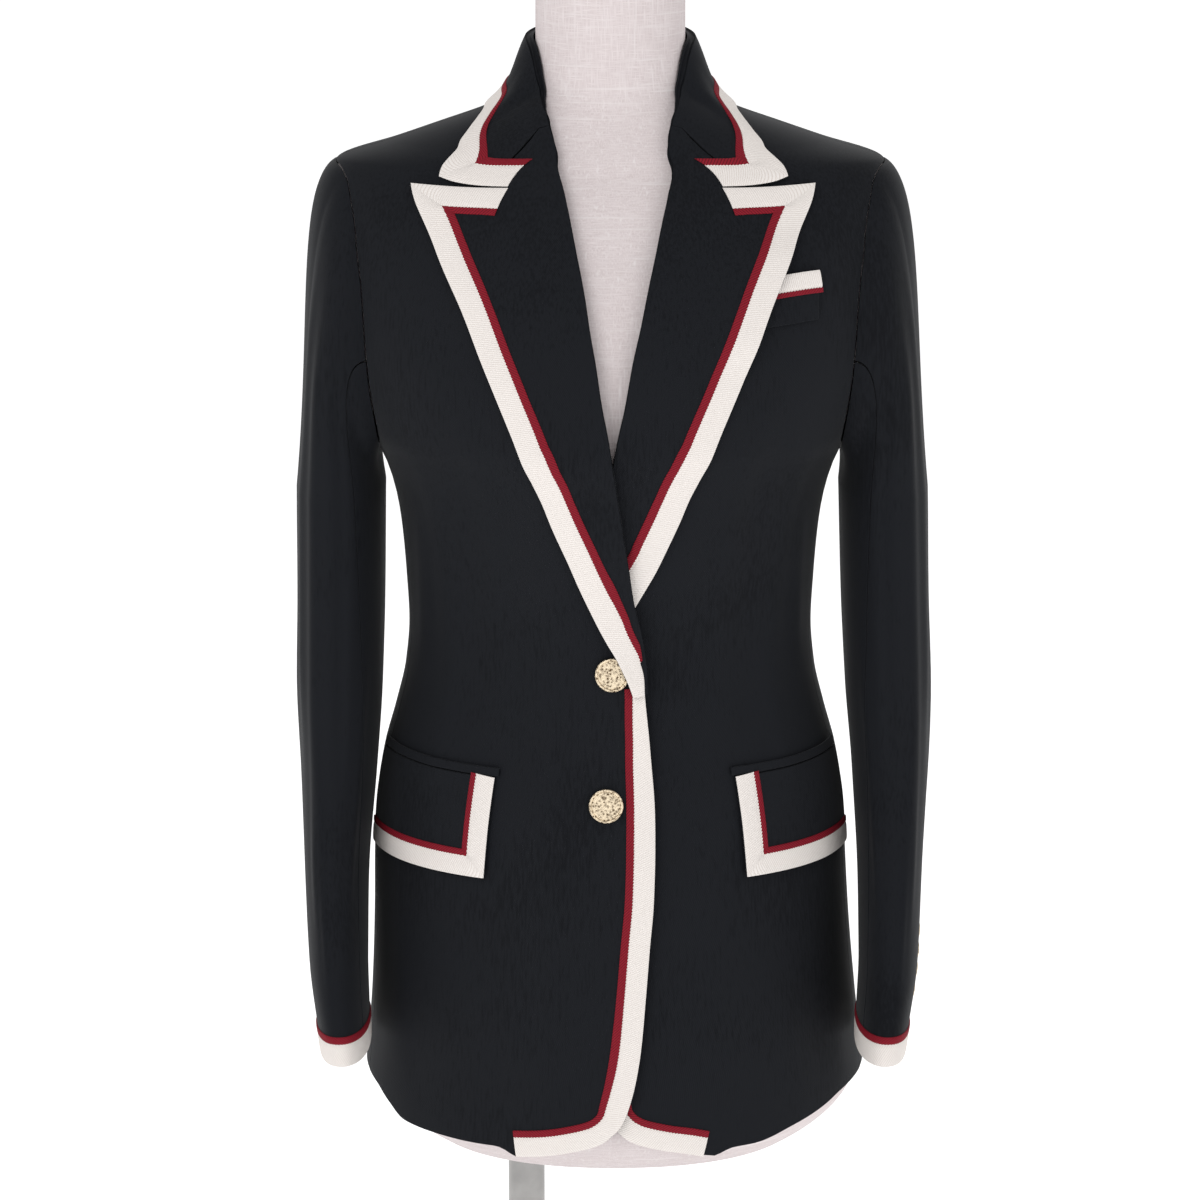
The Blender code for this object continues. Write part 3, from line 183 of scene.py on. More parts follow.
def relief(add, wire, height, strength, distance):
    """Shades the surface as if it were raised by a height, over a distance in metres."""
    bump = add("Bump", {"Height": height, "Strength": strength, "Distance": distance})
    wire("Normal", bump.outputs["Normal"])


def brushed_steel():
    """Steel brushed round its axis: noise that is drawn out level, in gloss and in relief."""
    made, add, wire = new_material("stand_steel_finish", (0.62, 0.60, 0.58), 0.3, 1.0)
    place = add("TexCoord").outputs["Object"]
    lines = noise(add, place, 1.0, 3.0, (20.0, 20.0, 2600.0))
    marks = noise(add, place, 30.0, 4.0)
    wire("Roughness", rescaled(add, lines, To_Min=0.24, To_Max=0.4))
    wire("Base Color", colours_of(add, marks, (0.3, (0.26, 0.255, 0.25)), (0.7, (0.40, 0.39, 0.38))))
    relief(add, wire, lines, 0.12, 0.0002)
    return made


def dark_ring_metal():
    """The socket's dark enamel, slightly uneven in gloss."""
    made, add, wire = new_material("stand_socket_enamel", (0.05, 0.05, 0.055), 0.35, 0.6)
    place = add("TexCoord").outputs["Object"]
    marks = noise(add, place, 120.0, 4.0)
    wire("Roughness", rescaled(add, marks, To_Min=0.28, To_Max=0.45))
    return made


FORM_BOTTOM = 324.0
POLE_X, POLE_RADIUS = -57.5, 12.5
SOCKET_RADIUS, SOCKET_HIGH = 17.5, 24.0
FLANGE_RADIUS, FLANGE_HIGH = 30.0, 16.0
BASE_RADIUS, BASE_THICK = 160.0, 12.0
STAND_GAP = 0.3
STEEL = brushed_steel()
base_outline = [
    (BASE_RADIUS - 3, 0),
    (BASE_RADIUS, 3),
    (BASE_RADIUS, 8),
    (BASE_RADIUS - 4, BASE_THICK),
    (60, BASE_THICK),
]
rings_piece("stand_base", spun(rounded(base_outline, 2.0), 144), STEEL)
foot = BASE_THICK + STAND_GAP
flange_top, pole_top = foot + FLANGE_HIGH, FORM_BOTTOM - SOCKET_HIGH
stand_outlines = {
    "stand_flange": [
        (FLANGE_RADIUS, foot),
        (FLANGE_RADIUS, foot + 4),
        (20, foot + 9),
        (18, flange_top),
    ],
    "stand_pole": [
        (POLE_RADIUS, flange_top + STAND_GAP),
        (POLE_RADIUS, pole_top - 1),
        (POLE_RADIUS - 0.5, pole_top),
    ],
    "stand_socket": [
        (14, pole_top + STAND_GAP),
        (14, pole_top + 4),
        (SOCKET_RADIUS, FORM_BOTTOM - 9),
        (SOCKET_RADIUS, FORM_BOTTOM - STAND_GAP),
    ],
}
for node, outline in stand_outlines.items():
    surface = dark_ring_metal() if node == "stand_socket" else STEEL
    rings_piece(node, spun(rounded(outline)) + (POLE_X, 0, 0), surface)


# --- the dress form --------------------------------------------------------------------------
# A limbless torso of padded shell under a linen cover, with a linen-covered cap on its neck.
# It fills the jacket at the shoulders and stands a little inside the cloth lower down.


RIGHT, LEFT = -1, 1  # the wearer's right side is at -X


def table(names, *rows):
    """Named columns from rows of numbers, one row for each section or fold."""
    values = np.array(rows, float)
    return {name: values[:, k] for k, name in enumerate(names.split())}


def spline(knots, values, at):
    """A smooth curve through the values that never swings past them.

    Each stretch is a cubic. Its slope at a value is a weighted harmonic mean of the straight
    slopes before and after, or level where these turn round.
    """
    at = np.clip(np.asarray(at, float), knots[0], knots[-1])
    step = np.diff(knots)
    slope = np.diff(values) / step
    lean = np.empty(len(knots))
    lean[0], lean[-1] = slope[0], slope[-1]
    before, after = slope[:-1], slope[1:]
    near, far = 2 * step[1:] + step[:-1], step[1:] + 2 * step[:-1]
    flat = before * after <= 0
    safe_before, safe_after = np.where(flat, 1, before), np.where(flat, 1, after)
    lean[1:-1] = np.where(flat, 0, (near + far) / (near / safe_before + far / safe_after))
    i = np.clip(np.searchsorted(knots, at, side="right") - 1, 0, len(knots) - 2)
    t = (at - knots[i]) / step[i]
    start = values[i] * (1 + 2 * t) * (1 - t) ** 2 + step[i] * lean[i] * t * (1 - t) ** 2
    end = values[i + 1] * t * t * (3 - 2 * t) - step[i] * lean[i + 1] * t * t * (1 - t)
    return start + end


def read(source, name, at, key="height"):
    """A column of a table, read smoothly at the given heights."""
    return spline(source[key], source[name], at)


def ramp(value, start, end):
    """0 up to start, 1 from end on, and smooth between them."""
    t = np.clip((value - start) / (end - start), 0, 1)
    return t * t * (3 - 2 * t)


def unit(vectors):
    """Vectors divided by their own lengths."""
    return vectors / np.linalg.norm(vectors, axis=-1, keepdims=True)


# A ring has a half width, a depth in front of and behind its middle, a fullness (2 is an
# ellipse, more is squarer) and a small shift to +X, because the skirt hangs off centre.
TORSO = table(
    "height half_width front back fullness shift",
    (330, 174, 137, 135, 2.15, 4.0),
    (363, 171, 136, 133, 2.15, 3.5),
    (420, 165, 134, 130, 2.15, 2.5),
    (480, 161, 131, 127, 2.15, 1.0),
    (530, 159, 128, 122, 2.15, 0),
    (560, 157, 125, 117, 2.15, 0),
    (591, 152, 121, 111, 2.15, 0),
    (620, 144, 117, 105, 2.15, 0),
    (650, 137, 115, 100, 2.15, 0),
    (680, 134.5, 114, 97, 2.15, 0),
    (712, 136, 117, 97, 2.15, 0),
    (740, 138, 122, 99, 2.2, 0),
    (760, 140.5, 126, 101, 2.2, 0),
    (783, 146, 130, 104, 2.2, 0),
    (800, 153, 133, 106, 2.25, 0),
    (815, 161, 135, 108, 2.3, 0),
    (850, 172, 133, 110, 2.35, 0),
    (900, 181, 121, 109, 2.4, 0),
    (940, 186, 102, 102, 2.5, 0),
    (965, 187, 88, 94, 2.5, 0),
    (980, 184, 78, 86, 2.45, 0),
    (988, 178, 72, 81, 2.4, 0),
    (1000, 142, 65, 75, 2.3, 0),
    (1010, 113, 59, 70, 2.2, 0),
    (1020, 84, 54, 65, 2.15, 0),
    (1028, 65, 51, 61, 2.1, 0),
    (1036, 56.5, 49.5, 58, 2.1, 0),
    (1048, 53, 49, 56, 2.05, 0),
    (1062, 51.5, 48.5, 55, 2.0, 0),
    (1085, 51.5, 48.5, 55, 2.0, 0),
    (1110, 51.5, 48.5, 55, 2.0, 0),
)
# The left lapel lies farther out than the right one. These are the turns of its roll line and
# edge, and how many turns farther out each lies; the cloth beside it follows up to SETTLED.
LEFT_LAPEL = table(
    "height roll edge roll_shift edge_shift",
    (656, -7.9, -6.0, 0.0, 0.0),
    (690, -6.9, 0.3, 0.3, 0.6),
    (719, -4.4, 5.2, 0.4, 1.5),
    (748, -2.7, 9.3, 0.5, 2.8),
    (801, 0.0, 15.9, 0.6, 3.1),
    (830, 0.8, 18.7, 0.8, 2.8),
    (875, 2.4, 23.7, 1.1, 2.6),
    (912, 3.6, 27.9, 1.6, 2.2),
    (950, 5.1, 33.0, 1.8, 1.7),
    (980, 7.6, 39.2, 2.0, 1.5),
    (1000, 12.0, 42.0, 0.8, 0.6),
    (1010, 20.0, 45.0, 0.0, 0.0),
)
SETTLED = 56.0
SLOPE_STEP = 0.5  # up and down from a height, to find how the body widens over a millimetre


def shifted(side, turn, height):
    """The turn on the body of a place that is given by its turn on an even pair of fronts.

    The shift grows in a straight line from the roll line to the lapel's edge, then fades.
    """
    if side == RIGHT:
        return turn
    roll, edge, at_roll, at_edge = (
        read(LEFT_LAPEL, name, height) for name in ("roll", "edge", "roll_shift", "edge_shift")
    )
    across = np.clip((turn - roll) / (edge - roll), 0, 1)
    return turn + (at_roll + (at_edge - at_roll) * across) * (1 - ramp(turn, edge, SETTLED))


def skin(side, turn, height, out=0.0):
    """Points at a turn and a height, moved out from the body surface along its normal.

    Each level ring is a superellipse: x and y are the half width and the depth times the sine
    and cosine of the turn, each to the power of 2 over the fullness. The normal is the slope
    of the ring's own equation, with its upward part from how fast the rings widen.
    """
    turn, height, out = np.broadcast_arrays(turn, height, out)
    turn = np.radians(shifted(side, turn, height))
    wide, front, back, full, shift = (
        read(TORSO, name, height) for name in ("half_width", "front", "back", "fullness", "shift")
    )
    fore = np.cos(turn) > 0
    deep = np.where(fore, front, back)
    x = side * wide * np.sign(np.sin(turn)) * np.abs(np.sin(turn)) ** (2 / full)
    y = -deep * np.sign(np.cos(turn)) * np.abs(np.cos(turn)) ** (2 / full)
    wider, fuller, rear = (
        read(TORSO, name, height + SLOPE_STEP) - read(TORSO, name, height - SLOPE_STEP)
        for name in ("half_width", "front", "back")
    )
    deeper = np.where(fore, fuller, rear)
    across, along = np.abs(x / wide), np.abs(y / deep)
    normal = np.stack(
        [
            np.sign(x) * across ** (full - 1) / wide,
            np.sign(y) * along ** (full - 1) / deep,
            -(across**full * wider / wide + along**full * deeper / deep),
        ],
        -1,
    )
    return np.stack([x + shift, y, height + 0 * x], -1) + out[..., None] * unit(normal)


WALL = 1.6  # the cloth with its fusing
NECK_TOP = 1104.0
# The room between the cloth's inner face and the form: it rests on the shoulders.
FORM_ROOM = table(
    "height room",
    (370, 3.4),
    (880, 3.4),
    (940, 2.2),
    (982, 2.0),
    (994, 0.9),
    (1008, 0.9),
    (1025, 1.3),
    (1110, 1.3),
)

FORM_LOW = 372.0  # the top of its rounded foot
FORM_AROUND = 144


def form_ring(height):
    """A level ring of the form: the body surface, moved in by the cloth and its room."""
    turns = np.linspace(0, 360, FORM_AROUND, endpoint=False)
    signed = np.where(turns <= 180, turns, turns - 360)
    return skin(RIGHT, signed, height, -WALL - read(FORM_ROOM, "room", height))


def linen_cover():
    """Plain-woven linen: fine crossing threads with thicker slubs, both ways."""
    made, add, wire = new_material("linen_cover_finish", (0.74, 0.68, 0.68), 0.9)
    place = add("TexCoord").outputs["Object"]

    upright, level = (noise(add, place, 1.0, 2.0, s) for s in ((1300, 1300, 90), (110, 110, 1500)))
    slubs, cross_slubs = (noise(add, place, 1.0, 1.0, s) for s in ((420, 420, 16), (16, 16, 520)))
    weave = maths(add, "MAXIMUM", upright, level)
    thick = maths(add, "MAXIMUM", slubs, cross_slubs)
    knots = rescaled(add, thick, From_Min=0.60, From_Max=0.82)
    fine = colours_of(add, weave, (0.40, (0.64, 0.56, 0.56)), (0.74, (0.77, 0.70, 0.70)))
    tint = add("MixRGB", {"Fac": knots, "Color1": fine, "Color2": (0.79, 0.73, 0.73, 1.0)})
    wire("Base Color", tint.outputs["Color"])
    relief(add, wire, maths(add, "ADD", weave, knots), 0.35, 0.0003)
    return made


LINEN = linen_cover()
FORM_CHEST, CLOSER_RINGS = 930.0, 934.0  # the rings lie closer together above the chest
RINGS_BELOW, RINGS_ABOVE, FOOT_RINGS = 94, 96, 14
FOOT_INSET = 0.24  # how far the foot rounds in, as a share of the ring
INSET_POWER, DROP_POWER = 1.25, 0.62  # how soon it rounds in, and how soon it drops
below_chest = np.linspace(FORM_LOW, FORM_CHEST, RINGS_BELOW)
above_chest = np.linspace(CLOSER_RINGS, NECK_TOP, RINGS_ABOVE)
form_heights = np.concatenate([below_chest, above_chest])
form_rings = [form_ring(height) for height in form_heights]
form_rings[0][:, 2], form_rings[-1][:, 2] = FORM_LOW, NECK_TOP
foot_middle = form_rings[0].mean(0)
foot_rings = []
for angle in np.radians(np.linspace(0, 90, FOOT_RINGS, endpoint=False)):
    down = 1 - np.sin(angle)
    ring = foot_middle + (form_rings[0] - foot_middle) * (1 - FOOT_INSET * down**INSET_POWER)
    ring[:, 2] = FORM_LOW - (FORM_LOW - FORM_BOTTOM) * down**DROP_POWER
    foot_rings.append(ring)
rings_piece("form_body", np.array(foot_rings + form_rings), LINEN)
# The cap's rings are the neck's own, by their rise above it and the share of its width.
CAP_RINGS = ((STAND_GAP, 0.99), (1.2, 1.0), (5.2, 1.0), (7.4, 0.985), (8.8, 0.95), (9.4, 0.9))
cap = [form_rings[-1] * (share, share, 0) + (0, 0, NECK_TOP + rise) for rise, share in CAP_RINGS]
rings_piece("form_neck_cap", np.array(cap), LINEN)


# --- fronts, with the braid round their edges ---------------------------------------------
# Each front is one piece of black wool from the hem to the shoulder seam, cut away at its
# lower corner. The right one laps over the left. Its edge is bound with two braids.

SIDES = ((RIGHT, "right"), (LEFT, "left"))
TURN_STEP = 1.5  # wide, because the turns are stretched near the centre front
HEIGHT_STEP = 0.1


def moved(side, path, amounts):
    """A path of (turn, height) rows, moved across itself on the surface by millimetres.

    Positive amounts go to the left of the path's direction as seen from outside on the
    wearer's left side. Corners are mitred. The move is worked out along the surface, then turned
    into turns and heights by solving for the two slopes of the surface at each row.
    """
    path = np.asarray(path, float)
    amounts = np.broadcast_to(np.asarray(amounts, float), len(path))
    turn, height = path.T
    here = skin(side, turn, height)
    further, nearer = (skin(side, turn + step, height) for step in (TURN_STEP, -TURN_STEP))
    above, below = (skin(side, turn, height + step) for step in (HEIGHT_STEP, -HEIGHT_STEP))
    by_turn = (further - nearer) / (2 * TURN_STEP)
    by_height = (above - below) / (2 * HEIGHT_STEP)
    normal = skin(side, turn, height, 1.0) - here
    steps = unit(np.diff(here, axis=0))
    before, after = np.vstack([steps[:1], steps]), np.vstack([steps, steps[-1:]])
    first, second = unit(np.cross(normal, before)), unit(np.cross(normal, after))
    mitre = (first + second) / (1 + np.maximum((first * second).sum(1), -0.5))[:, None]
    shift = mitre * (side * amounts)[:, None]
    aa, bb = (by_turn**2).sum(1), (by_height**2).sum(1)
    ab = (by_turn * by_height).sum(1)
    a, b = (by_turn * shift).sum(1), (by_height * shift).sum(1)
    span = aa * bb - ab**2
    return np.stack([turn + (a * bb - b * ab) / span, height + (b * aa - a * ab) / span], -1)


def paired(turn, height):
    """A path of (turn, height) rows. Either may be one number for all the rows."""
    return np.stack(np.broadcast_arrays(turn, height), -1)


def between(first, last, shares):
    """Rows of points from one path to another, at the given shares of the way."""
    shares = np.asarray(shares, float)[None, :, None]
    return first[:, None] * (1 - shares) + last[:, None] * shares


SEAM = 0.3  # between pieces that are sewn edge to edge
# The front edge below the lapel, up from the hem, with its round cutaway corner, and the
# width of its cream braid, which narrows under the upper button.
FRONT_EDGE = table(
    "turn height cream",
    (20.5, 344, 13),
    (14.5, 346.5, 13),
    (8.8, 350, 13),
    (2.8, 356, 13),
    (-0.8, 368, 13),
    (-2.9, 386, 13),
    (-4.8, 414, 13),
    (-6.4, 454, 13),
    (-7.6, 488, 13),
    (-8.8, 521, 13),
    (-9.2, 554, 13),
    (-9.3, 580, 12.6),
    (-9.0, 605, 11.4),
    (-8.7, 625, 9.9),
    (-8.4, 638, 8.9),
    (-7.95, 655, 7.4),
    (-7.85, 660.5, 7.2),
)
HEM_END = {RIGHT: 20.5, LEFT: 17.8}  # the turns at which the braid ends on the hem
# The roll line goes up from the break and becomes the fold of the collar. Softness is how
# far the turned cloth stands off the cloth below at the fold, and reach how soon it settles.
ROLL = table(
    "turn height softness reach",
    (-7.9, 656, 0.0, 24),
    (-7.8, 670, 0.0, 24),
    (-7.2, 685, 0.0, 24),
    (-6.0, 702, 0.0, 24),
    (-4.4, 719, 0.1, 24),
    (-3.0, 742, 0.1, 24),
    (-1.7, 767, 0.2, 24),
    (-0.4, 794, 0.3, 24),
    (0.7, 827, 0.7, 24),
    (1.5, 846, 1.0, 24),
    (2.3, 871, 1.4, 25),
    (3.2, 895, 1.8, 26),
    (4.0, 925, 2.2, 27),
    (5.0, 948, 2.5, 28),
    (6.4, 972, 2.8, 29),
    (9.8, 993, 3.0, 30),
    (15.5, 1005, 3.2, 31),
    (25.6, 1017, 3.2, 31),
    (45.0, 1029.5, 2.6, 30),
    (57.0, 1041.5, 2.1, 30),
    (66.0, 1052.5, 1.8, 30),
    (77.0, 1060.5, 1.6, 30),
    (90.0, 1064, 1.6, 30),
    (115.0, 1067, 1.6, 30),
    (145.0, 1070, 1.6, 30),
    (180.0, 1071, 1.6, 30),
)
ROLL_ROWS = np.arange(len(ROLL["turn"]), dtype=float)
LAPEL_END_ROW = 17  # the rows before it belong to the lapel
LAID = 0.8  # between a piece and what it lies on
# The wearer's right front laps over the left one, so it stands off by the layers beneath:
# the left front and its braid low down, and the left lapel too where that lies below it.
LAP_LIFT = table(
    "height lift",
    (330, 5.3),
    (600, 5.3),
    (645, 6.9),
    (800, 6.9),
    (835, 4.4),
    (880, 1.6),
    (950, 0.0),
    (1110, 0.0),
)
LAP_START, LAP_END = 28.0, 11.0  # turns between which the right front rises


def lift(side, turn, height):
    """How far the front panels stand off the body surface, from LAP_LIFT and faded by turn."""
    if side == LEFT:
        return 0.0 * (turn + height)
    return read(LAP_LIFT, "lift", height) * (1 - ramp(turn, LAP_END, LAP_START))


# Folds of the fronts, sides and back: soft troughs (below 0) and ridges down the cloth, on one
# side or on both (0). Lean is how far each one turns between its low and its high end.
FOLDS = table(
    "side turn width depth low high lean",
    (0, 39.0, 5.0, -1.6, 600, 850, -3),
    (0, 63.0, 7.0, 1.8, 350, 470, -3),
    (0, 100.0, 8.0, -1.6, 640, 760, -3),
    (0, 140.0, 7.0, -1.4, 620, 900, -3),
    (0, 48.0, 5.0, 1.5, 560, 830, 4),
    (0, 67.0, 5.0, 1.6, 640, 790, -9),
    (0, 24.0, 4.0, 0.9, 380, 640, -5),
    (RIGHT, 12.0, 3.5, 0.8, 380, 625, 2),
    (RIGHT, 54.0, 5.0, 1.2, 345, 520, 6),
    (LEFT, 19.0, 5.0, -1.0, 620, 790, 5),
    (LEFT, 46.0, 6.0, 1.1, 345, 500, -5),
    (0, 108.0, 6.0, 1.4, 380, 560, 4),
    (0, 128.0, 6.0, 1.3, 690, 940, -7),
    (0, 160.0, 7.0, 1.2, 370, 700, -4),
)


FOLD_FADE = 60.0  # millimetres over which a fold dies out at each end


def crease(side, turn, height):
    """The folds' depth: for each, a bell curve across it, faded in and out at its ends."""
    depth = 0.0 * (turn + height)
    for only, across, width, deep, low, high, lean in zip(*FOLDS.values()):
        if only not in (0, side):
            continue
        middle = across + (height - low) / (high - low) * lean
        window = ramp(height, low, low + FOLD_FADE) * (1 - ramp(height, high - FOLD_FADE, high))
        depth = depth + deep * np.exp(-(((turn - middle) / width) ** 2)) * window
    return depth


def panel_out(side, turn, height):
    """How far the cloth of the body stands off its surface: the lap's lift plus the folds."""
    return lift(side, turn, height) + crease(side, turn, height)


def fold_radius(rows):
    """Half of the fold's whole thickness along the roll line: two walls and what is between."""
    softness = spline(ROLL_ROWS, ROLL["softness"], rows)
    return (LAID + 2 * WALL + softness) / 2


def roll_path(rows):
    """The roll line's turn and height at row numbers, which may lie between its rows."""
    return paired(*(spline(ROLL_ROWS, ROLL[name], rows) for name in ("turn", "height")))


SIDE_SEAM, BACK_SEAM = 78.0, 118.0
# The armhole, from the shoulder tip (0) through the front (90) to the underarm (180), and the
# back's turns and heights level with them. Lean is how far the sleeve's cloth turns out from
# the panel's own direction there, and head how far it runs on before it bends to the arm.
ARMHOLE_HALF = table(
    "place turn height back_turn back_height lean head",
    (0, 90, 987.5, 90, 987.5, 16, 30),
    (15, 76, 986, 98, 986, 20, 29),
    (30, 65.5, 980, 107, 981, 27, 28),
    (45, 60, 966, 115, 970, 36, 27),
    (60, 58, 945, 119.5, 952, 46, 27),
    (75, 57.8, 922, 121.5, 930, 54, 26),
    (90, 58.8, 900, 122, 904, 60, 25),
    (105, 60.5, 876, 121.2, 878, 66, 23),
    (120, 62.5, 852, 119, 853, 74, 20),
    (135, 65, 829, 115.5, 830, 84, 17),
    (150, 69.5, 811, 110.5, 811, 100, 13),
    (165, 78, 801.5, 102, 801.5, 130, 9),
    (180, 90, 799, 90, 799, 150, 7),
)
# All the way round: the front's column, then the back's from the underarm up to 360.
ARMHOLE = {"place": np.concatenate([ARMHOLE_HALF["place"], 360 - ARMHOLE_HALF["place"][-2::-1]])}
for name in ("turn", "height", "lean", "head"):
    behind = ARMHOLE_HALF.get(f"back_{name}", ARMHOLE_HALF[name])
    ARMHOLE[name] = np.concatenate([ARMHOLE_HALF[name], behind[-2::-1]])
NECKLINE = table(
    "turn height",
    (20, 1006.5),
    (30, 1012),
    (50, 1020.5),
    (70, 1025),
    (90, 1027.5),
    (135, 1029.5),
    (180, 1030.5),
)
# The hem's height round the body for each side; the sides hang a little short.
HEM = table(
    "turn right left",
    (15, 350, 348),
    (30, 349, 349),
    (42, 350, 356),
    (54, 352, 363),
    (62, 360, 368),
    (70, 367, 370),
    (90, 371, 372),
    (180, 362, 362),
)


def hem(side, turn):
    """The hem's height on one side, read smoothly at the given turns."""
    return read(HEM, "right" if side == RIGHT else "left", turn, key="turn")


# Rows of points across the fronts and back. Below the underarm they are heights of the front
# edge and rows of the roll line, and the side seams take the same ones, so that they match.
EDGE_ROWS = np.array([344, 350, 357, 369, 388, 418, 458, 505, 552, 590, 620, 648.0])
BREAK_ROWS = np.array([0.15, 1.75, 2.6, 4, 5.4, 7.23])
# Above it each row runs from a place on the armhole to a height on the roll line or back.
ARM_ROWS = table(
    "place roll_height back_height",
    (150, 811, 0),
    (135, 829, 0),
    (120, 851, 868),
    (105, 875, 888),
    (90, 900, 910),
    (75, 922, 932),
    (60, 945, 953),
    (45, 965, 971),
    (30, 980, 984),
    (15, 990, 993),
    (0, 998, 1000),
)
# And from a height on the shoulder seam to a place on the neckline.
RIDGE_ROWS = table(
    "height neck_turn back_height",
    (993, 19.0, 1006),
    (999, 25.0, 1011.5),
    (1006, 36.0, 1016.5),
    (1013, 51.0, 1021.5),
    (1020, 68.0, 1026),
    (1026.8, 86.0, 1030.2),
)
UNDERARM = 801.5  # the height at which the side panel's front edge reaches the armhole
SEAM_ROWS = len(EDGE_ROWS) + len(BREAK_ROWS)  # the rows from the hem to the armhole
SHOULDER_SEAM = 90.0
SEAM_SETTLES = 90.0  # how far above the hem the side seam takes the front edge's heights


def armhole_at(places):
    """The armhole's turn and height, read smoothly at places round it."""
    return paired(*(read(ARMHOLE, name, places, key="place") for name in ("turn", "height")))


def armhole_point(side, place, out=0.0):
    """A point on the body surface at a place round the armhole."""
    path = armhole_at(place % 360)
    return skin(side, path[..., 0], path[..., 1], out)


def beside_roll(side, rows):
    """The roll line moved in by the fold, where the cloth under a lapel or collar ends."""
    return moved(side, roll_path(rows), -(fold_radius(rows) + 2 * SEAM))


def front_centre(side):
    """The front panel's edge, from the hem up its front and roll line and round the neck."""
    edge = paired(read(FRONT_EDGE, "turn", EDGE_ROWS), EDGE_ROWS)
    straight = slice(LAPEL_END_ROW)
    roll_rows = np.interp(ARM_ROWS["roll_height"], ROLL["height"][straight], ROLL_ROWS[straight])
    roll = beside_roll(side, np.concatenate([BREAK_ROWS, roll_rows]))
    turns = RIDGE_ROWS["neck_turn"]
    neck = paired(turns, read(NECKLINE, "height", turns, key="turn") - SEAM)
    return np.vstack([edge, roll, neck])


def front_outside(side):
    """Where the front's rows end: the side seam, then the armhole, then the shoulder seam."""
    low = hem(side, SIDE_SEAM)
    below = front_centre(side)[:SEAM_ROWS, 1]
    below[-1] = UNDERARM
    blend = below[0] + SEAM_SETTLES
    share = np.clip((below - below[0]) / (blend - below[0]), 0, 1)
    seam = np.where(below < blend, low + share * (blend - low), below)
    arm = armhole_at(ARM_ROWS["place"])
    ridge = paired(SHOULDER_SEAM, RIDGE_ROWS["height"])
    return np.vstack([paired(SIDE_SEAM, seam), arm, ridge])


def finer(points, per_row, corners=()):
    """Rows of points with more rows put in, smooth apart from the rows named as corners.

    Each stretch between two corners is a cubic through its rows that never swings past them.
    """
    stops = [0, *corners, len(points) - 1]
    stretches = []
    for first, last in zip(stops[:-1], stops[1:]):
        part = points[first : last + 1]
        at = np.linspace(0, last - first, (last - first) * per_row + 1)
        flat = part.reshape(len(part), -1)
        columns = [spline(np.arange(len(part)), column, at) for column in flat.T]
        made = np.stack(columns, -1).reshape(len(at), *part.shape[1:])
        stretches.append(made[1:] if stretches else made)
    return np.concatenate(stretches)


def laid_flat(grid):
    """Where each point of a grid would lie flat, in metres: the lengths along row and column."""
    along = np.linalg.norm(np.diff(grid, axis=1), axis=-1).cumsum(1)
    along = np.concatenate([np.zeros_like(grid[:, :1, 0]), along], 1)
    up = np.linalg.norm(np.diff(grid, axis=0), axis=-1).cumsum(0)
    up = np.concatenate([np.zeros_like(grid[:1, :, 0]), up], 0)
    return np.stack([along, up.mean(1, keepdims=True) + 0 * along], -1) * MM


SOFT_EDGE, BRAID_SOFT_EDGE = 0.45, 0.12  # how far edges are rounded, on cloth and on braid
SOFT_ANGLE = 48  # edges that turn by more degrees than this are rounded


def wall_piece(node, outer, inner, surface, slot, edge=SOFT_EDGE):
    """A closed wall from its outer and inner grid of points, with rounded edges."""
    rows, columns = outer.shape[:2]
    front = np.arange(rows * columns).reshape(rows, columns)
    far = rows * columns
    faces = []
    for grid, order in ((front, 1), (front + far, -1)):
        corners = np.stack([grid[:-1, :-1], grid[:-1, 1:], grid[1:, 1:], grid[1:, :-1]], -1)
        faces += corners.reshape(-1, 4)[:, ::order].tolist()
    rim = np.concatenate([front[0], front[1:, -1], front[-1, -2::-1], front[-2:0:-1, 0]])
    after = np.roll(rim, -1)
    faces += np.stack([after, rim, rim + far, after + far], -1).tolist()
    places = laid_flat(outer)
    piece = add_piece(
        node, np.stack([outer, inner]), faces, surface, np.stack([places, places])
    )
    soft = piece.modifiers.new("soft_edge", "BEVEL")
    soft.width = edge * MM
    soft.segments = 2
    soft.limit_method = "ANGLE"
    soft.angle_limit = np.radians(SOFT_ANGLE)
    return piece


def wool_wall(node, faces):
    """A wall of the black wool from its outer and its inner face."""
    return wall_piece(node, *faces, WOOL, "black_wool_cloth")


def braid_wall(node, faces, colour):
    """A strip of braid from its outer and its inner face."""
    return wall_piece(node, *faces, *BRAIDS[colour], BRAID_SOFT_EDGE)


def cloth_piece(node, side, grid, offset):
    """A wool piece on the body from its (turn, height) grid, its face moved out by offset."""
    turn, height = grid[..., 0], grid[..., 1]
    out = offset(side, turn, height)
    return wool_wall(node, [skin(side, turn, height, out - down) for down in (0.0, WALL)])


def black_wool():
    """Fine wool twill: a steep diagonal rib, faint slubs, and a soft sheen where it turns."""
    made, add, wire = new_material(
        "black_wool_finish",
        (0.0075, 0.0085, 0.0115),
        0.78,
        Sheen_Weight=0.08,
        Sheen_Roughness=0.4,
        Specular_IOR_Level=0.12,
    )
    flat = add("UVMap", uv_map="pattern").outputs["UV"]
    place = add("TexCoord").outputs["Object"]
    turned_flat = add("Mapping", {"Vector": flat, "Rotation": (0, 0, 0.45)}).outputs["Vector"]
    ribs = add("TexWave", {"Vector": turned_flat, "Scale": 260.0, "Distortion": 1.5, "Detail": 1.0})
    slubs = noise(add, place, 1.0, 3.0, (700, 700, 90))
    patches = maths(add, "ADD", slubs, noise(add, place, 9.0, 3.0))
    dark, light = (0.0045, 0.0052, 0.0072), (0.0080, 0.0090, 0.0118)
    wire("Base Color", colours_of(add, patches, (0.75, dark), (1.0, light)))
    relief(add, wire, maths(add, "ADD", ribs.outputs["Fac"], slubs), 0.22, 0.00025)
    return made


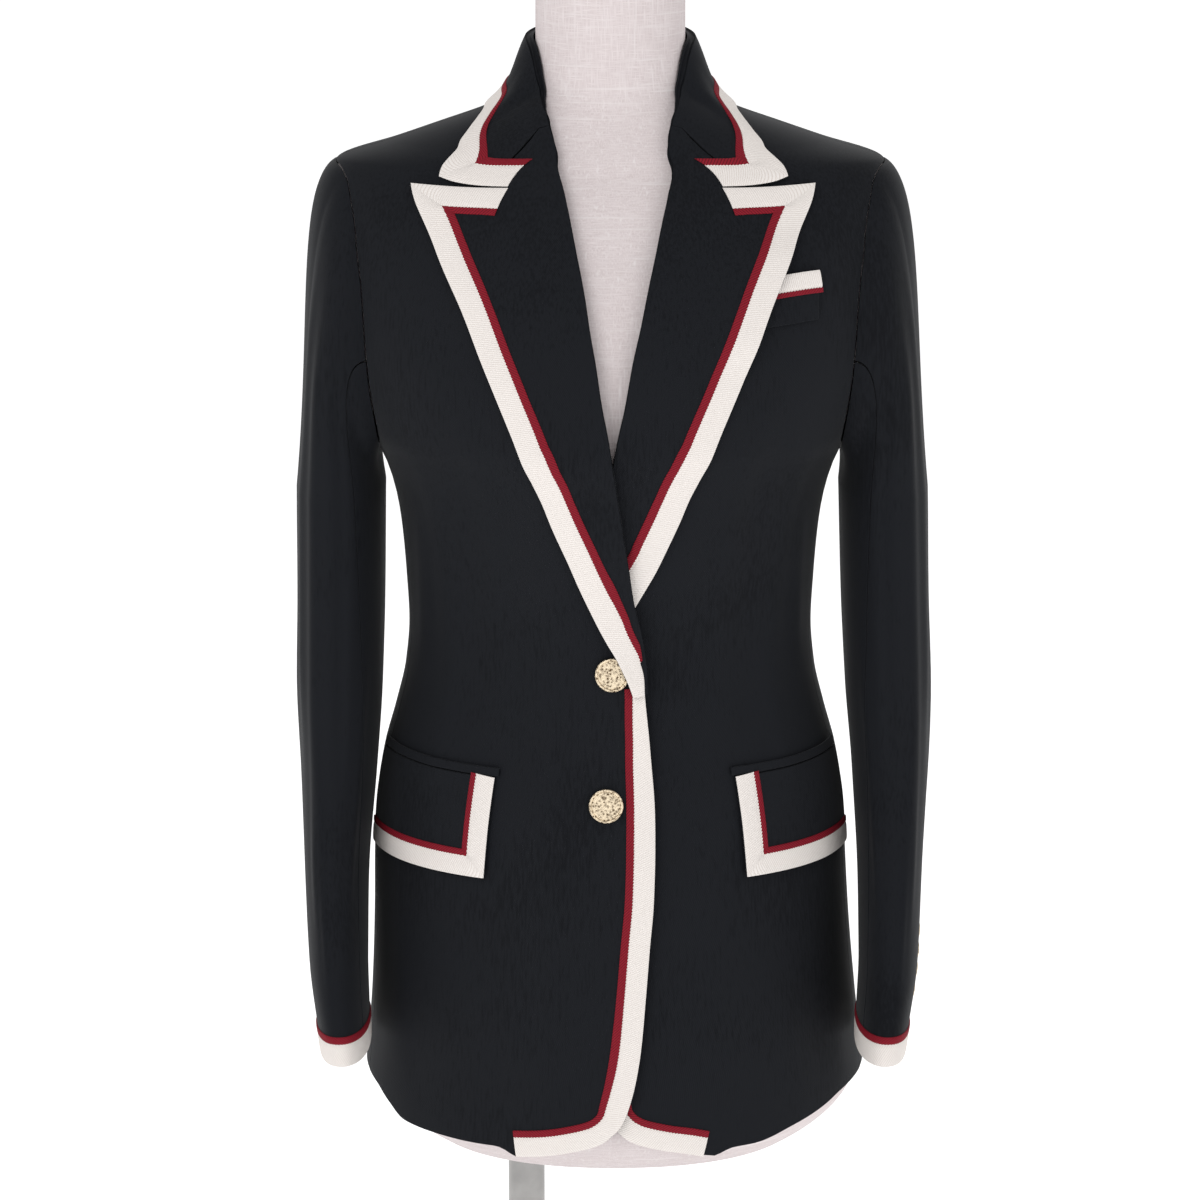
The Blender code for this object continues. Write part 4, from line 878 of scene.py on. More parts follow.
RIB_SHAKE = 0.0004  # metres by which a rib strays
FIBRE_SHARE = 0.35  # the fibres' height, as a share of a rib's
TOOTH_SHARE, TOOTH_ROOT = 0.6, 0.0001  # a tooth's reach: a share of its rib, and metres more


def braid_material(name, dark, light, pitch, slant, tooth=None):
    """Ribbed braid: ribs at a pitch and a slant across it, in its own colour on top and painted shade
    between.

    The rib's height is a folded ramp of the place along the braid plus slant times the place
    across it. Where tooth is given, one edge is nibbled in that colour, a rib at a time.
    """
    made, add, wire = new_material(name, light, 0.78, Specular_IOR_Level=0.2)
    flat = add("UVMap", uv_map="pattern").outputs["UV"]
    parts = add("SeparateXYZ", {"Vector": flat}).outputs
    leaned = maths(add, "MULTIPLY_ADD", parts["X"], slant, parts["Y"])
    shaken = maths(add, "MULTIPLY_ADD", noise(add, flat, 900.0, 2.0), RIB_SHAKE, leaned)
    rib = maths(add, "PINGPONG", shaken, pitch / 2)
    height = maths(add, "DIVIDE", rib, pitch / 2)
    mixed = maths(add, "MULTIPLY_ADD", noise(add, flat, 2600.0, 2.0), FIBRE_SHARE, height)
    # The dark end of this ramp is painted shade in the grooves between the ribs, and the upper end is
    # the braid's own colour.
    tint = colours_of(add, mixed, (0.12, dark), (0.62, light))
    if tooth:
        reach = maths(add, "MULTIPLY_ADD", rib, TOOTH_SHARE, TOOTH_ROOT)
        bitten = maths(add, "LESS_THAN", parts["X"], reach)
        mix = add("MixRGB", {"Fac": bitten, "Color1": tint, "Color2": (*tooth, 1.0)})
        tint = mix.outputs["Color"]
    wire("Base Color", tint)
    relief(add, wire, mixed, 0.5, 0.0004)
    return made


WOOL = black_wool()
# Each braid's dark colour is painted shade, for the grooves between its ribs.
CREAM_TOP, CREAM_GROOVE_SHADE = (0.86, 0.81, 0.775), (0.66, 0.59, 0.54)
BURGUNDY_TOP, BURGUNDY_GROOVE_SHADE = (0.255, 0.008, 0.020), (0.030, 0.001, 0.003)
CREAM = braid_material("cream_braid_finish", CREAM_GROOVE_SHADE, CREAM_TOP, 0.0015, 0.5)
BURGUNDY = braid_material(
    "burgundy_braid_finish", BURGUNDY_GROOVE_SHADE, BURGUNDY_TOP, 0.0021, 1.1, CREAM_TOP
)
BRAIDS = {"cream": (CREAM, "cream_braid"), "burgundy": (BURGUNDY, "burgundy_braid")}

BRAID = 0.9  # thickness of the trim
CREAM_WIDTH, BURGUNDY_WIDTH = 14.0, 5.0
ON_CLOTH = 0.05  # between the braid and the cloth under it
EDGE_GAP = 0.15  # from the cloth's edge to the braid
BRAID_CROWN = 0.55  # how much thinner it is along its edges
BRAID_SHARES = np.array([0, 0.06, 0.18, 0.34, 0.5, 0.66, 0.82, 0.94, 1])


def band(cream, burgundy):
    """How far in from the edge each colour begins and ends. The two are woven as one."""
    return (("cream", EDGE_GAP, cream), ("burgundy", cream, cream + burgundy))


def braid_heights():
    """The braid's thickness across it: full in the middle, thinner by a sixth power outwards."""
    return BRAID * (1 - BRAID_CROWN * np.abs(2 * BRAID_SHARES - 1) ** 6)


def crossing(first, second):
    """The row numbers, with fractions, at which two paths of (turn, height) rows cross.

    Each step of one path is set against each step of the other as two straight lines.
    """
    a, along = first[:-1, None], np.diff(first, axis=0)[:, None]
    c, other = second[None, :-1], np.diff(second, axis=0)[None]
    span = along[..., 0] * other[..., 1] - along[..., 1] * other[..., 0]
    span = np.where(np.abs(span) < 1e-12, np.nan, span)
    apart = c - a
    share = (apart[..., 0] * other[..., 1] - apart[..., 1] * other[..., 0]) / span
    reach = (apart[..., 0] * along[..., 1] - apart[..., 1] * along[..., 0]) / span
    i, j = np.argwhere((share >= 0) & (share <= 1) & (reach >= 0) & (reach <= 1))[0]
    return i + share[i, j], j + reach[i, j]


MITRE_STEP = 0.01  # rows kept between the points that are drawn in at a mitre


def inside(side, path, corner, amount):
    """A path moved across itself, with the rows beyond its sharp corner's mitre drawn in.

    Corner is the row number of the one sharp corner, or None.
    """
    if corner is None:
        return moved(side, path, amount)
    first, second = moved(side, path[: corner + 1], amount), moved(side, path[corner:], amount)
    end, start = crossing(first, second)
    before = np.arange(corner + 1.0)
    after = np.arange(len(path) - corner + 0.0)
    before = np.minimum(before, end - MITRE_STEP * (corner - before))
    after = np.maximum(after, start + MITRE_STEP * after)
    legs = ((first, before), (second, after[1:]))
    pieces = [[np.interp(at, np.arange(len(leg)), column) for column in leg.T] for leg, at in legs]
    return np.concatenate(pieces, 1).T


def braid_piece(node, side, near, far, under, colour):
    """A strip of braid between two paths, laid on the cloth's face and crowned across."""
    grid = between(near, far, BRAID_SHARES)
    turn, height = grid[..., 0], grid[..., 1]
    out = under(side, turn, height) + ON_CLOTH
    faces = [skin(side, turn, height, out + braid_heights()), skin(side, turn, height, out)]
    return braid_wall(node, faces, colour)


def trim(name, side, path, corner, under, inward, widths):
    """Cream braid along the inside of a path, and burgundy braid along the inside of that."""
    made = []
    for colour, near, far in band(*widths):
        edges = [inside(side, path, corner, inward * amount) for amount in (near, far)]
        made.append(braid_piece(f"{name}_{colour}_braid", side, *edges, under, colour))
    return made


FRONT_COLUMNS = 1 - (1 - np.linspace(0, 1, 46)) ** 1.12  # a little closer at the outside
UNDERARM_ROW = SEAM_ROWS - 1
FRONT_CORNERS = (UNDERARM_ROW, UNDERARM_ROW + len(ARM_ROWS["place"]))  # the last at the shoulder tip
PANEL_PER_ROW, EDGE_PER_ROW = 5, 8  # rows made for each row of a panel, and of its braided edge
CUTAWAY_HIGH = 60.0  # the hem's sag dies out this far up
CUTAWAY_TURNS = (20.4, 26.0)  # and it comes in between these turns, past the cutaway corner


def front_grid(side):
    """The front's (turn, height) grid: straight rows from its centre edge to its outside."""
    centre, outside = front_centre(side), front_outside(side)
    inner = moved(side, outside, SEAM / 2)
    on_seam = outside[:, 0] == SIDE_SEAM
    inner[on_seam, 1] = outside[on_seam, 1]
    grid = between(centre, inner, FRONT_COLUMNS)
    # the hem follows HEM between the cutaway and the side
    fade = np.clip(1 - (centre[:, 1] - centre[0, 1]) / CUTAWAY_HIGH, 0, 1)[:, None]
    hem_turn, hem_height = grid[0].T
    sag = (hem(side, hem_turn) - hem_height) * ramp(hem_turn, *CUTAWAY_TURNS)
    grid[..., 1] += sag[None] * fade
    return finer(grid, PANEL_PER_ROW, FRONT_CORNERS)


for side, name in SIDES:
    front = cloth_piece(f"front_{name}", side, front_grid(side), panel_out)
    edge_rows = np.stack([FRONT_EDGE[name] for name in ("turn", "height", "cream")], -1)
    edge_rows[0, 0] = HEM_END[side]
    edge_rows = finer(edge_rows, EDGE_PER_ROW)
    widths = (edge_rows[:, 2], BURGUNDY_WIDTH)
    braids = trim(f"edge_{name}", side, edge_rows[:, :2], None, panel_out, -1, widths)


# --- side panels and backs ----------------------------------------------------------------
# The side panel joins front and back under the arm. The two backs meet at a centre seam. All
# are black wool, sewn edge to edge, with a fine groove along each seam.


def seam_shares(side):
    """How far up the side seams each row of points lies, from the hem to the armhole."""
    height = front_outside(side)[:SEAM_ROWS, 1]
    return (height - height[0]) / (UNDERARM - height[0])


CENTRE_GAP = 0.06  # from the middle to each back, along the centre seam
UNDER_ARM = slice(6, 18)  # the rows of ARMHOLE round the underarm, where the turn only grows
BACK_PLACE = float(np.interp(BACK_SEAM, ARMHOLE["turn"][UNDER_ARM], ARMHOLE["place"][UNDER_ARM]))
BACK_ARM = ARM_ROWS["back_height"] > 0  # the rows round the armhole that the back has too
BACK_CORNERS = (UNDERARM_ROW, UNDERARM_ROW + np.count_nonzero(BACK_ARM))
BACK_RISE = 6.0  # how much higher the rows are at the centre back than at the back seam
SIDE_RADIUS = 150.0  # from the body's middle to the side seams, which turns a gap into degrees
SIDE_PLACE = 165.0  # the place on the armhole at which the side panel starts
SIDE_COLUMNS, BACK_COLUMNS = 30, 44


def side_grid(side):
    """The side panel's grid: even turns, and heights from the hem to the armhole by share."""
    inset = np.degrees(SEAM / 2 / SIDE_RADIUS)
    turns = np.linspace(SIDE_SEAM + inset, BACK_SEAM - inset, SIDE_COLUMNS)
    arm_turn, arm_height = armhole_at(np.linspace(SIDE_PLACE, BACK_PLACE, 200)).T
    top = np.interp(turns, arm_turn, arm_height) - SEAM / 2
    low = hem(side, turns)
    shares = seam_shares(side)[:, None]
    return finer(paired(turns, low + (top - low) * shares), PANEL_PER_ROW)


def back_grid(side):
    """The back's grid: straight rows from the side seam and armhole to the centre back."""
    corner = armhole_at(BACK_PLACE)[1]
    low, middle = hem(side, BACK_SEAM), hem(side, 180)
    shares = seam_shares(side)
    seam = paired(BACK_SEAM, low + (corner - low) * shares)
    ridge = paired(SHOULDER_SEAM, RIDGE_ROWS["height"])
    outside = np.vstack([seam, armhole_at(360 - ARM_ROWS["place"][BACK_ARM]), ridge])
    inner = moved(side, outside, -SEAM / 2)
    inner[: len(shares), 1] = outside[: len(shares), 1]
    rising = middle + (corner + BACK_RISE - middle) * shares
    height = np.concatenate([rising, ARM_ROWS["back_height"][BACK_ARM], RIDGE_ROWS["back_height"]])
    # the turn at which the body surface is CENTRE_GAP from its middle, by skin's own formula
    share = CENTRE_GAP / read(TORSO, "half_width", height)
    inset = np.degrees(np.arcsin(share ** (read(TORSO, "fullness", height) / 2)))
    grid = between(inner, paired(180 - inset, height), np.linspace(0, 1, BACK_COLUMNS))
    # the top row lies along the neckline
    neck = read(NECKLINE, "height", grid[-1, :, 0], key="turn") - SEAM - grid[-1, :, 1]
    rise = np.linspace(0, 1, len(RIDGE_ROWS["height"]) + 1)[1:]
    grid[-len(rise) :, :, 1] += neck * rise[:, None]
    return finer(grid, PANEL_PER_ROW, BACK_CORNERS)


for side, name in SIDES:
    panel = cloth_piece(f"side_panel_{name}", side, side_grid(side), panel_out)
    back = cloth_piece(f"back_{name}", side, back_grid(side), panel_out)


# --- sleeves, with their cuff braid, vents and buttons ------------------------------------
# A two-piece tailored sleeve: a top sleeve and an under sleeve, sewn down the front of the
# arm and down the elbow. The elbow seam ends in a vent with four metal buttons.

# Rings down the sleeve. The arms hang a little forward, and the left sleeve hangs farther out.
SLEEVE = table(
    "height right_x left_x half_width half_depth centre_y",
    (398, 175.6, 179.4, 15.3, 56.0, -80),
    (425, 178.0, 182.0, 17.2, 56.5, -73),
    (460, 181.2, 185.8, 19.2, 57.0, -60),
    (520, 182.5, 187.0, 21.3, 57.5, -42),
    (580, 181.2, 187.3, 25.0, 58.0, -25),
    (640, 180.3, 185.5, 28.3, 60.0, -16),
    (700, 179.3, 183.3, 29.2, 63.0, -8),
    (772, 178.5, 181.3, 29.4, 66.0, -2),
)
SLEEVE_TOP = 772.0
CUFF_HEIGHT = 405.0
CUFF_RISE = 0.05  # the cuff is cut a little higher in front
SLEEVE_FULLNESS = 2.2
UNDERARM_ROOM = 0.8  # the sleeve's lowest cloth starts this far outside the side panel
HEAD_OUT = 0.15  # and its seam this much farther out than SEAM, all round
HEAD_PULL, UNDER_PULL = 110.0, 9.0  # how far the arm draws the cap up, over and under the arm
PULL_IN, PULL_FORWARD = 0.11, 0.08  # how far that pull leans, for each millimetre up
SLEEVE_GAP = 0.32  # in places, from each seam of the sleeve
SLEEVE_FOLD_FADE = 70.0
PLACE_STEP, DOWN_STEP = 0.5, 0.01  # the steps that give the sleeve's normal
CAP_SHARES = np.array([0, 0.07, 0.16, 0.28, 0.42, 0.58, 0.78, 1])
ARM_HEIGHTS = np.array([730, 685, 638, 592, 547, 502, 462, 428, CUFF_HEIGHT])
# The two seams twist outwards down the sleeve. Places are as on the armhole.
FRONT_SEAM = {"top": 112.0, "cuff": 150.0}
ELBOW_SEAM = {"top": 285.0, "cuff": {RIGHT: 332.0, LEFT: 346.0}}
SLEEVE_FOLDS = table(
    "place width depth low high lean",
    (62, 9, 2.0, 470, 900, 0),
    (96, 8, -1.6, 560, 880, 0),
    (20, 10, -1.3, 560, 760, 0),
    (230, 12, -1.6, 600, 760, 0),
    (300, 10, 1.4, 520, 820, 0),
    (34, 8, 1.3, 600, 940, 8),
    (82, 6, 1.3, 430, 640, -16),
    (116, 7, 1.4, 470, 700, 14),
    (350, 9, 1.2, 460, 700, 10),
    (265, 9, 1.3, 440, 660, -12),
)


def sleeve_points(side, place, down):
    """The sleeve's outer face. Down is 0 at the armhole, 1 at the biceps and 2 at the cuff.

    The arm is level superellipse rings from SLEEVE. The cap is a cubic curve that leaves the
    armhole by its lean, head millimetres long, and meets the arm's first ring from above.
    """
    place, down = np.broadcast_arrays(np.asarray(place, float), down)
    across = np.radians(place)
    middle_x = "right_x" if side == RIGHT else "left_x"

    def ring(height):
        """The superellipse's x and y at a height: half width and depth, as in skin."""
        wide, deep = (read(SLEEVE, c, height) for c in ("half_width", "half_depth"))
        cos, sin = np.cos(across), np.sin(across)
        power = 2 / SLEEVE_FULLNESS
        x = side * (read(SLEEVE, middle_x, height) + wide * np.sign(cos) * np.abs(cos) ** power)
        y = read(SLEEVE, "centre_y", height) - deep * np.sign(sin) * np.abs(sin) ** power
        return x, y

    height = SLEEVE_TOP + (CUFF_HEIGHT - SLEEVE_TOP) * np.clip(down - 1, 0, 1)
    x, y = ring(height)
    forward = CUFF_RISE * (read(SLEEVE, "centre_y", height) - y) * np.clip(down - 1, 0, 1)
    arm = np.stack([x, y, height + forward], -1)

    hole = armhole_point(side, place)
    normal = armhole_point(side, place, 1.0) - hole
    along = unit(armhole_point(side, place + 1) - armhole_point(side, place - 1))
    lean, head = (read(ARMHOLE, name, place % 360, key="place") for name in ("lean", "head"))
    away = unit(np.cross(normal, along)) * side
    lean = np.radians(lean)[..., None]
    under = (1 - np.cos(across)) / 2
    leaving = np.cos(lean) * away + np.sin(lean) * normal
    start = hole + (SEAM + HEAD_OUT) * leaving + UNDERARM_ROOM * (under**4)[..., None] * normal
    x, y = ring(SLEEVE_TOP + 0 * place)
    end = np.stack([x, y, SLEEVE_TOP + 0 * x], -1)
    pull = HEAD_PULL * (1 - under) ** 1.2 + UNDER_PULL * under
    inwards = [-PULL_IN * side * np.cos(across), 0 * across - PULL_FORWARD, 1 + 0 * across]
    one, two = start + head[..., None] * leaving, end + pull[..., None] * np.stack(inwards, -1)
    t = np.clip(down, 0, 1)[..., None]
    cap = (1 - t) ** 3 * start + 3 * t * (1 - t) ** 2 * one + 3 * t * t * (1 - t) * two + t**3 * end
    return np.where((down < 1)[..., None], cap, arm)


def sleeve_shell(side, place, down, out=0.0):
    """The sleeve's face with its folds, moved out along its normal.

    The normal is the cross product of a small step round the sleeve and one down it. Each
    fold is a bell curve across its place, faded in and out at its ends.
    """
    shape = np.broadcast(place, down).shape
    place, down = np.broadcast_to(place, shape), np.broadcast_to(down, shape)
    here = sleeve_points(side, place, down)
    on, back = (sleeve_points(side, place + step, down) for step in (PLACE_STEP, -PLACE_STEP))
    low, high = (
        sleeve_points(side, place, np.clip(down + step, 0, 2)) for step in (DOWN_STEP, -DOWN_STEP)
    )
    normal = unit(np.cross(on - back, low - high)) * side
    depth = 0.0 * place
    for middle, width, deep, bottom, top, lean in zip(*SLEEVE_FOLDS.values()):
        height = here[..., 2]
        window = ramp(height, bottom, bottom + SLEEVE_FOLD_FADE)
        window = window * (1 - ramp(height, top - SLEEVE_FOLD_FADE, top))
        leaned = middle + lean * (height - bottom) / (top - bottom)
        apart = (place - leaned + 180) % 360 - 180
        depth = depth + deep * np.exp(-((apart / width) ** 2)) * window
    return here + (out + depth)[..., None] * normal


ARM_SHARES = 1 + (SLEEVE_TOP - ARM_HEIGHTS) / (SLEEVE_TOP - CUFF_HEIGHT)
SLEEVE_DOWNS = finer(np.concatenate([CAP_SHARES, ARM_SHARES])[:, None], PANEL_PER_ROW)[:, 0]
SLEEVE_COLUMNS = (66, 44)  # of the top sleeve and of the under sleeve
CUFF_MM = 1 / (SLEEVE_TOP - CUFF_HEIGHT)  # a millimetre up the sleeve, in sleeve_points' down
VENT_LOW, VENT_HIGH = CREAM_WIDTH + BURGUNDY_WIDTH + 0.6, 82.0  # above the cuff
VENT_START, VENT_WIDTH = 0.3, 2.9  # in places, on from the elbow seam


def sleeve_places(side, down):
    """Places across the top sleeve and the under sleeve, seam to seam, at each row down.

    Both seams move in a straight line from their places at the biceps to those at the cuff.
    """
    fall = np.clip(np.asarray(down, float) - 1, 0, 1)[:, None]
    front = FRONT_SEAM["top"] + (FRONT_SEAM["cuff"] - FRONT_SEAM["top"]) * fall
    elbow = ELBOW_SEAM["top"] + (ELBOW_SEAM["cuff"][side] - ELBOW_SEAM["top"]) * fall
    over, under = (np.linspace(0, 1, count) for count in SLEEVE_COLUMNS)
    top = elbow - 360 + SLEEVE_GAP + (front + 360 - elbow - 2 * SLEEVE_GAP) * over
    return top, front + SLEEVE_GAP + (elbow - front - 2 * SLEEVE_GAP) * under


def beside_vent(side, down, places):
    """Places on the top sleeve measured from its elbow seam, where the vent is."""
    top = sleeve_places(side, np.atleast_1d(down))[0]
    return top[:, :1] + places


CUFF_BUTTON = {"radius": 5.75, "thick": 2.2, "lumps": 9}
CUFF_BUTTON_HEIGHTS = (31.0, 43.0, 55.0, 67.0)  # above the cuff, up the sleeve
CUFF_BUTTON_PLACE = 10.5  # in places, on from the elbow seam
BUTTON_GAP = 0.25  # between a button's back and the cloth


def hammered_gold():
    """Pale gold metal with a hammered face: small dents painted darker in their hollows as shade, and
    a slightly uneven gloss.
    """
    made, add, wire = new_material("gold_button_finish", (0.83, 0.70, 0.50), 0.26, 1.0)
    place = add("TexCoord").outputs["Object"]
    dents = add("TexVoronoi", {"Vector": place, "Scale": 560.0}, feature="SMOOTH_F1")
    fine = noise(add, place, 1500.0, 3.0)
    height = maths(add, "ADD", dents.outputs["Distance"], fine)
    # Painted shade: the colour darkens to near black in the dents' hollows and keeps the gold on the
    # tops.
    hollow, top = (0.10, 0.06, 0.03), (0.88, 0.74, 0.54)
    wire("Base Color", colours_of(add, height, (0.62, hollow), (1.0, top)))
    wire("Roughness", rescaled(add, fine, To_Min=0.2, To_Max=0.4))
    relief(add, wire, height, 0.7, 0.0006)
    return made


GOLD = hammered_gold()
GOLDEN_TURN = np.pi * (3 - np.sqrt(5))  # from each lump of a button's face to the next
RIM_SHARE = 0.09  # the rim's own radius, as a share of the button's
LUMP_HEIGHT, LUMP_WIDTH = 0.11, 0.8  # shares of the thickness and of the room for each lump
LARGE_BUTTON = 8.0  # buttons over this radius are made finer


def button_piece(node, at, outward, radius, thick, lumps):
    """A round metal button: a rolled rim round a face hammered into low lumps.

    The face's height is a flat dome plus a bell curve for each lump, the lumps lying on a
    sunflower spiral. The rim is a half round.
    """
    around, face_rows = (96, 14) if radius > LARGE_BUTTON else (40, 8)
    rim = RIM_SHARE * radius
    back = [(0.45 * radius, 0), (0.9 * radius, 0), (0.985 * radius, 0.35 * thick)]
    half_round = np.radians(np.linspace(0, 180, 9))
    rim_middle = radius - rim
    roll = paired(rim_middle + rim * np.cos(half_round), thick - rim + rim * np.sin(half_round))
    face_radius = np.linspace(rim_middle - rim, 0.04 * radius, face_rows)
    face = paired(face_radius, thick - 0.9 * rim)
    rings = spun(np.vstack([back, roll, face]), around)
    number = np.arange(lumps)
    spread = rim_middle * np.sqrt((number + 0.5) / lumps) * 0.94
    angle = number * GOLDEN_TURN
    centres = np.stack([spread * np.cos(angle), spread * np.sin(angle)], -1)
    on_face = rings[-len(face) :]
    apart = np.linalg.norm(on_face[..., None, :2] - centres, axis=-1)
    wide = LUMP_WIDTH * rim_middle / np.sqrt(lumps)
    sizes = 0.6 + 0.4 * np.sin(2.4 * number + 1)
    flat = 1 - (np.linalg.norm(on_face[..., :2], axis=-1) / rim_middle) ** 8
    bumps = (sizes * np.exp(-((apart / wide) ** 2))).sum(-1)
    rings[-len(face) :, :, 2] += LUMP_HEIGHT * thick * flat * bumps
    facing = np.array(Vector(outward).to_track_quat("Z", "Y").to_matrix())
    return rings_piece(node, rings @ facing.T + np.asarray(at), GOLD)


for side, name in SIDES:
    for piece, place in zip(("top_sleeve", "under_sleeve"), sleeve_places(side, SLEEVE_DOWNS)):
        faces = [sleeve_shell(side, place, SLEEVE_DOWNS[:, None], -deep) for deep in (0.0, WALL)]
        wool_wall(f"{piece}_{name}", faces)
    for colour, near, far in band(CREAM_WIDTH, BURGUNDY_WIDTH):
        down = 2 - CUFF_MM * (near + (far - near) * BRAID_SHARES)
        top, under = sleeve_places(side, down)
        place = np.concatenate([top, under[:, 1:]], 1)
        lifts = (ON_CLOTH + braid_heights()[:, None], ON_CLOTH)
        faces = [sleeve_shell(side, place, down[:, None], up).swapaxes(0, 1) for up in lifts]
        braid_wall(f"cuff_{name}_{colour}_braid", faces, colour)
    down = 2 - CUFF_MM * np.linspace(VENT_LOW, VENT_HIGH, 40)
    place = beside_vent(side, down, VENT_START + VENT_WIDTH * BRAID_SHARES)
    lifts = (ON_CLOTH + braid_heights(), ON_CLOTH)
    faces = [sleeve_shell(side, place, down[:, None], up) for up in lifts]
    braid_wall(f"vent_{name}_burgundy_braid", faces, "burgundy")
    for number, height in enumerate(CUFF_BUTTON_HEIGHTS, 1):
        down = 2 - CUFF_MM * height
        place = beside_vent(side, down, CUFF_BUTTON_PLACE)[0, 0]
        at, further = (sleeve_shell(side, place, down, BUTTON_GAP + up) for up in (0, 1))
        node = f"cuff_button_{name}_{number}"
        button_piece(node, at, further - at, **CUFF_BUTTON)


# --- collar stand --------------------------------------------------------------------------
# A straight band of wool sewn to the neckline. It stands up inside the collar and the fall
# turns down from its upper edge.

STAND_ROWS = np.linspace(16.85, 25, 70)  # the rows of the roll line that it stands inside


def both_sides(part_of, *given):
    """Joins the two halves of a grid that meets itself at the centre back."""
    return np.concatenate([part_of(RIGHT, *given), part_of(LEFT, *given)[-2::-1]])


def stand_half(side, out):
    """Half of the band, from the neckline up to just inside the roll line."""
    top = beside_roll(side, STAND_ROWS)
    bottom = paired(top[:, 0], read(NECKLINE, "height", top[:, 0], key="turn"))
    grid = between(bottom, top, np.linspace(0, 1, 9))
    return skin(side, grid[..., 0], grid[..., 1], out)


collar_stand = wool_wall("collar_stand", [both_sides(stand_half, out) for out in (0.0, -WALL)])


# --- lapels, with their braid --------------------------------------------------------------
# The fronts' facings turned back along the roll line into wide peaked lapels. Their edges
# carry the two braids, up to the peak and in along its top to the notch.

DENSE_ROWS = np.linspace(0, ROLL_ROWS[-1], 260)
DENSE_ROLL = {name: spline(ROLL_ROWS, column, DENSE_ROWS) for name, column in ROLL.items()}
# The lapel's edge, up from the break to its peak, in along its top, and up the gorge seam.
LAPEL_EDGE = table(
    "turn height",
    (-4.9, 654.8),
    (-3.9, 663),
    (-2.1, 675),
    (0.6, 692),
    (5.2, 719),
    (9.0, 746),
    (13.0, 773),
    (15.9, 800),
    (17.2, 813),
    (18.3, 826),
    (20.9, 851),
    (23.7, 875),
    (26.3, 899),
    (29.3, 923),
    (32.5, 946),
    (35.8, 963),
    (39.2, 978.5),
    (27.5, 977.2),
    (21.5, 976.8),
    (15.9, 976.6),
    (17.75, 990),
    (19.95, 1004.4),
)
LAPEL_PATH = paired(LAPEL_EDGE["turn"], LAPEL_EDGE["height"])
PEAK_ROW, GORGE_ROW = 16, 19  # the rows at the lapel's peak and at the foot of its gorge
# The right lapel's lower end turns up over the upper button. It does so by a share at the break,
# grows to the whole, and dies out higher up.
OVER_BUTTON, BREAK_SHARE = 3.9, 0.45
BREAK_GROWS, BUTTON_CLEARED = (654, 665), (684, 732)
# The left lapel's edge turns up over the breast pocket's welt, between these turns and heights.
OVER_WELT = 4.4
WELT_TURNS, WELT_FROM, WELT_TO = (11, 22), (862, 888), (932, 956)


def roll_turn(height):
    """The roll line's turn at a height on the lapel, on straight lines between its rows."""
    return np.interp(height, ROLL["height"][:LAPEL_END_ROW], ROLL["turn"][:LAPEL_END_ROW])


def folded_out(side, turn, height):
    """How far the outer face of a lapel or the collar stands off the body surface.

    Over its own thickness it adds the fold's softness, which dies out away from the roll line
    by a bell curve of the distance, and what turns it up over the button or the welt.
    """
    flat = panel_out(side, turn, height)
    here = skin(side, turn, height, flat)
    line_turn, line_height = DENSE_ROLL["turn"], DENSE_ROLL["height"]
    line = skin(side, line_turn, line_height, lift(side, line_turn, line_height))
    away = np.linalg.norm(here[..., None, :] - line, axis=-1)
    nearest = away.argmin(-1)
    share = away.min(-1) / DENSE_ROLL["reach"][nearest]
    stand = DENSE_ROLL["softness"][nearest] * np.exp(-(share**2))
    if side == RIGHT:
        roll = roll_turn(height)
        edge = np.interp(height, LAPEL_EDGE["height"][:PEAK_ROW], LAPEL_EDGE["turn"][:PEAK_ROW])
        across = np.clip((turn - roll) / (edge - roll), 0, 1)
        grown = BREAK_SHARE + (1 - BREAK_SHARE) * ramp(height, *BREAK_GROWS)
        stand = stand + OVER_BUTTON * across * grown * (1 - ramp(height, *BUTTON_CLEARED))
    else:
        window = ramp(height, *WELT_FROM) * (1 - ramp(height, *WELT_TO))
        stand = stand + OVER_WELT * ramp(turn, *WELT_TURNS) * window
    return flat + LAID + WALL + stand


# The rows of the roll line that face the rows of LAPEL_EDGE.
LAPEL_ROLL_ROWS = np.array(
    [0.05, 1, 1.75, 2.6, 4, 5.4, 6.4, 7.3, 7.65, 8.1, 9.1, 10.1, 11.1, 12, 12.6, 13.2, 13.75]
    + [13.95, 14.15, 14.5, 15.6, 16.545]
)


TIP_SLANT = 0.24  # how far the braid's lower end drops for each millimetre in from its edge
BRAID_END = np.array([0.15, -0.02])  # the slant of its ends at the gorge, turn and height per mm
# Above the break the braid keeps off the roll line. The first row is the distance in from the
# lapel's edge, in millimetres, and the second the room there: only the line where the colours
# meet keeps clear. It does so from between these heights up, and all lines keep a little.
ROLL_ROOM = ((0.0, 13.99, 14.0, 19.0), (0.0, 0.0, 1.3, 0.0))
ROOM_HEIGHTS, LEAST_ROOM = (664, 692), 0.15
NARROW_BELOW, LEAST_WIDTH = 740, 0.5  # a braid stops where it is narrower than this, low down

FOLD_ANGLES = np.linspace(-90, 80, 15)
LAPEL_SHARES = np.linspace(0, 1, 34)
LAPEL_PER_ROW = 6
ROW_STEP = 0.05  # along the roll line, to find its direction
TIGHTEST = 0.12  # the least radius of a fold's inner face


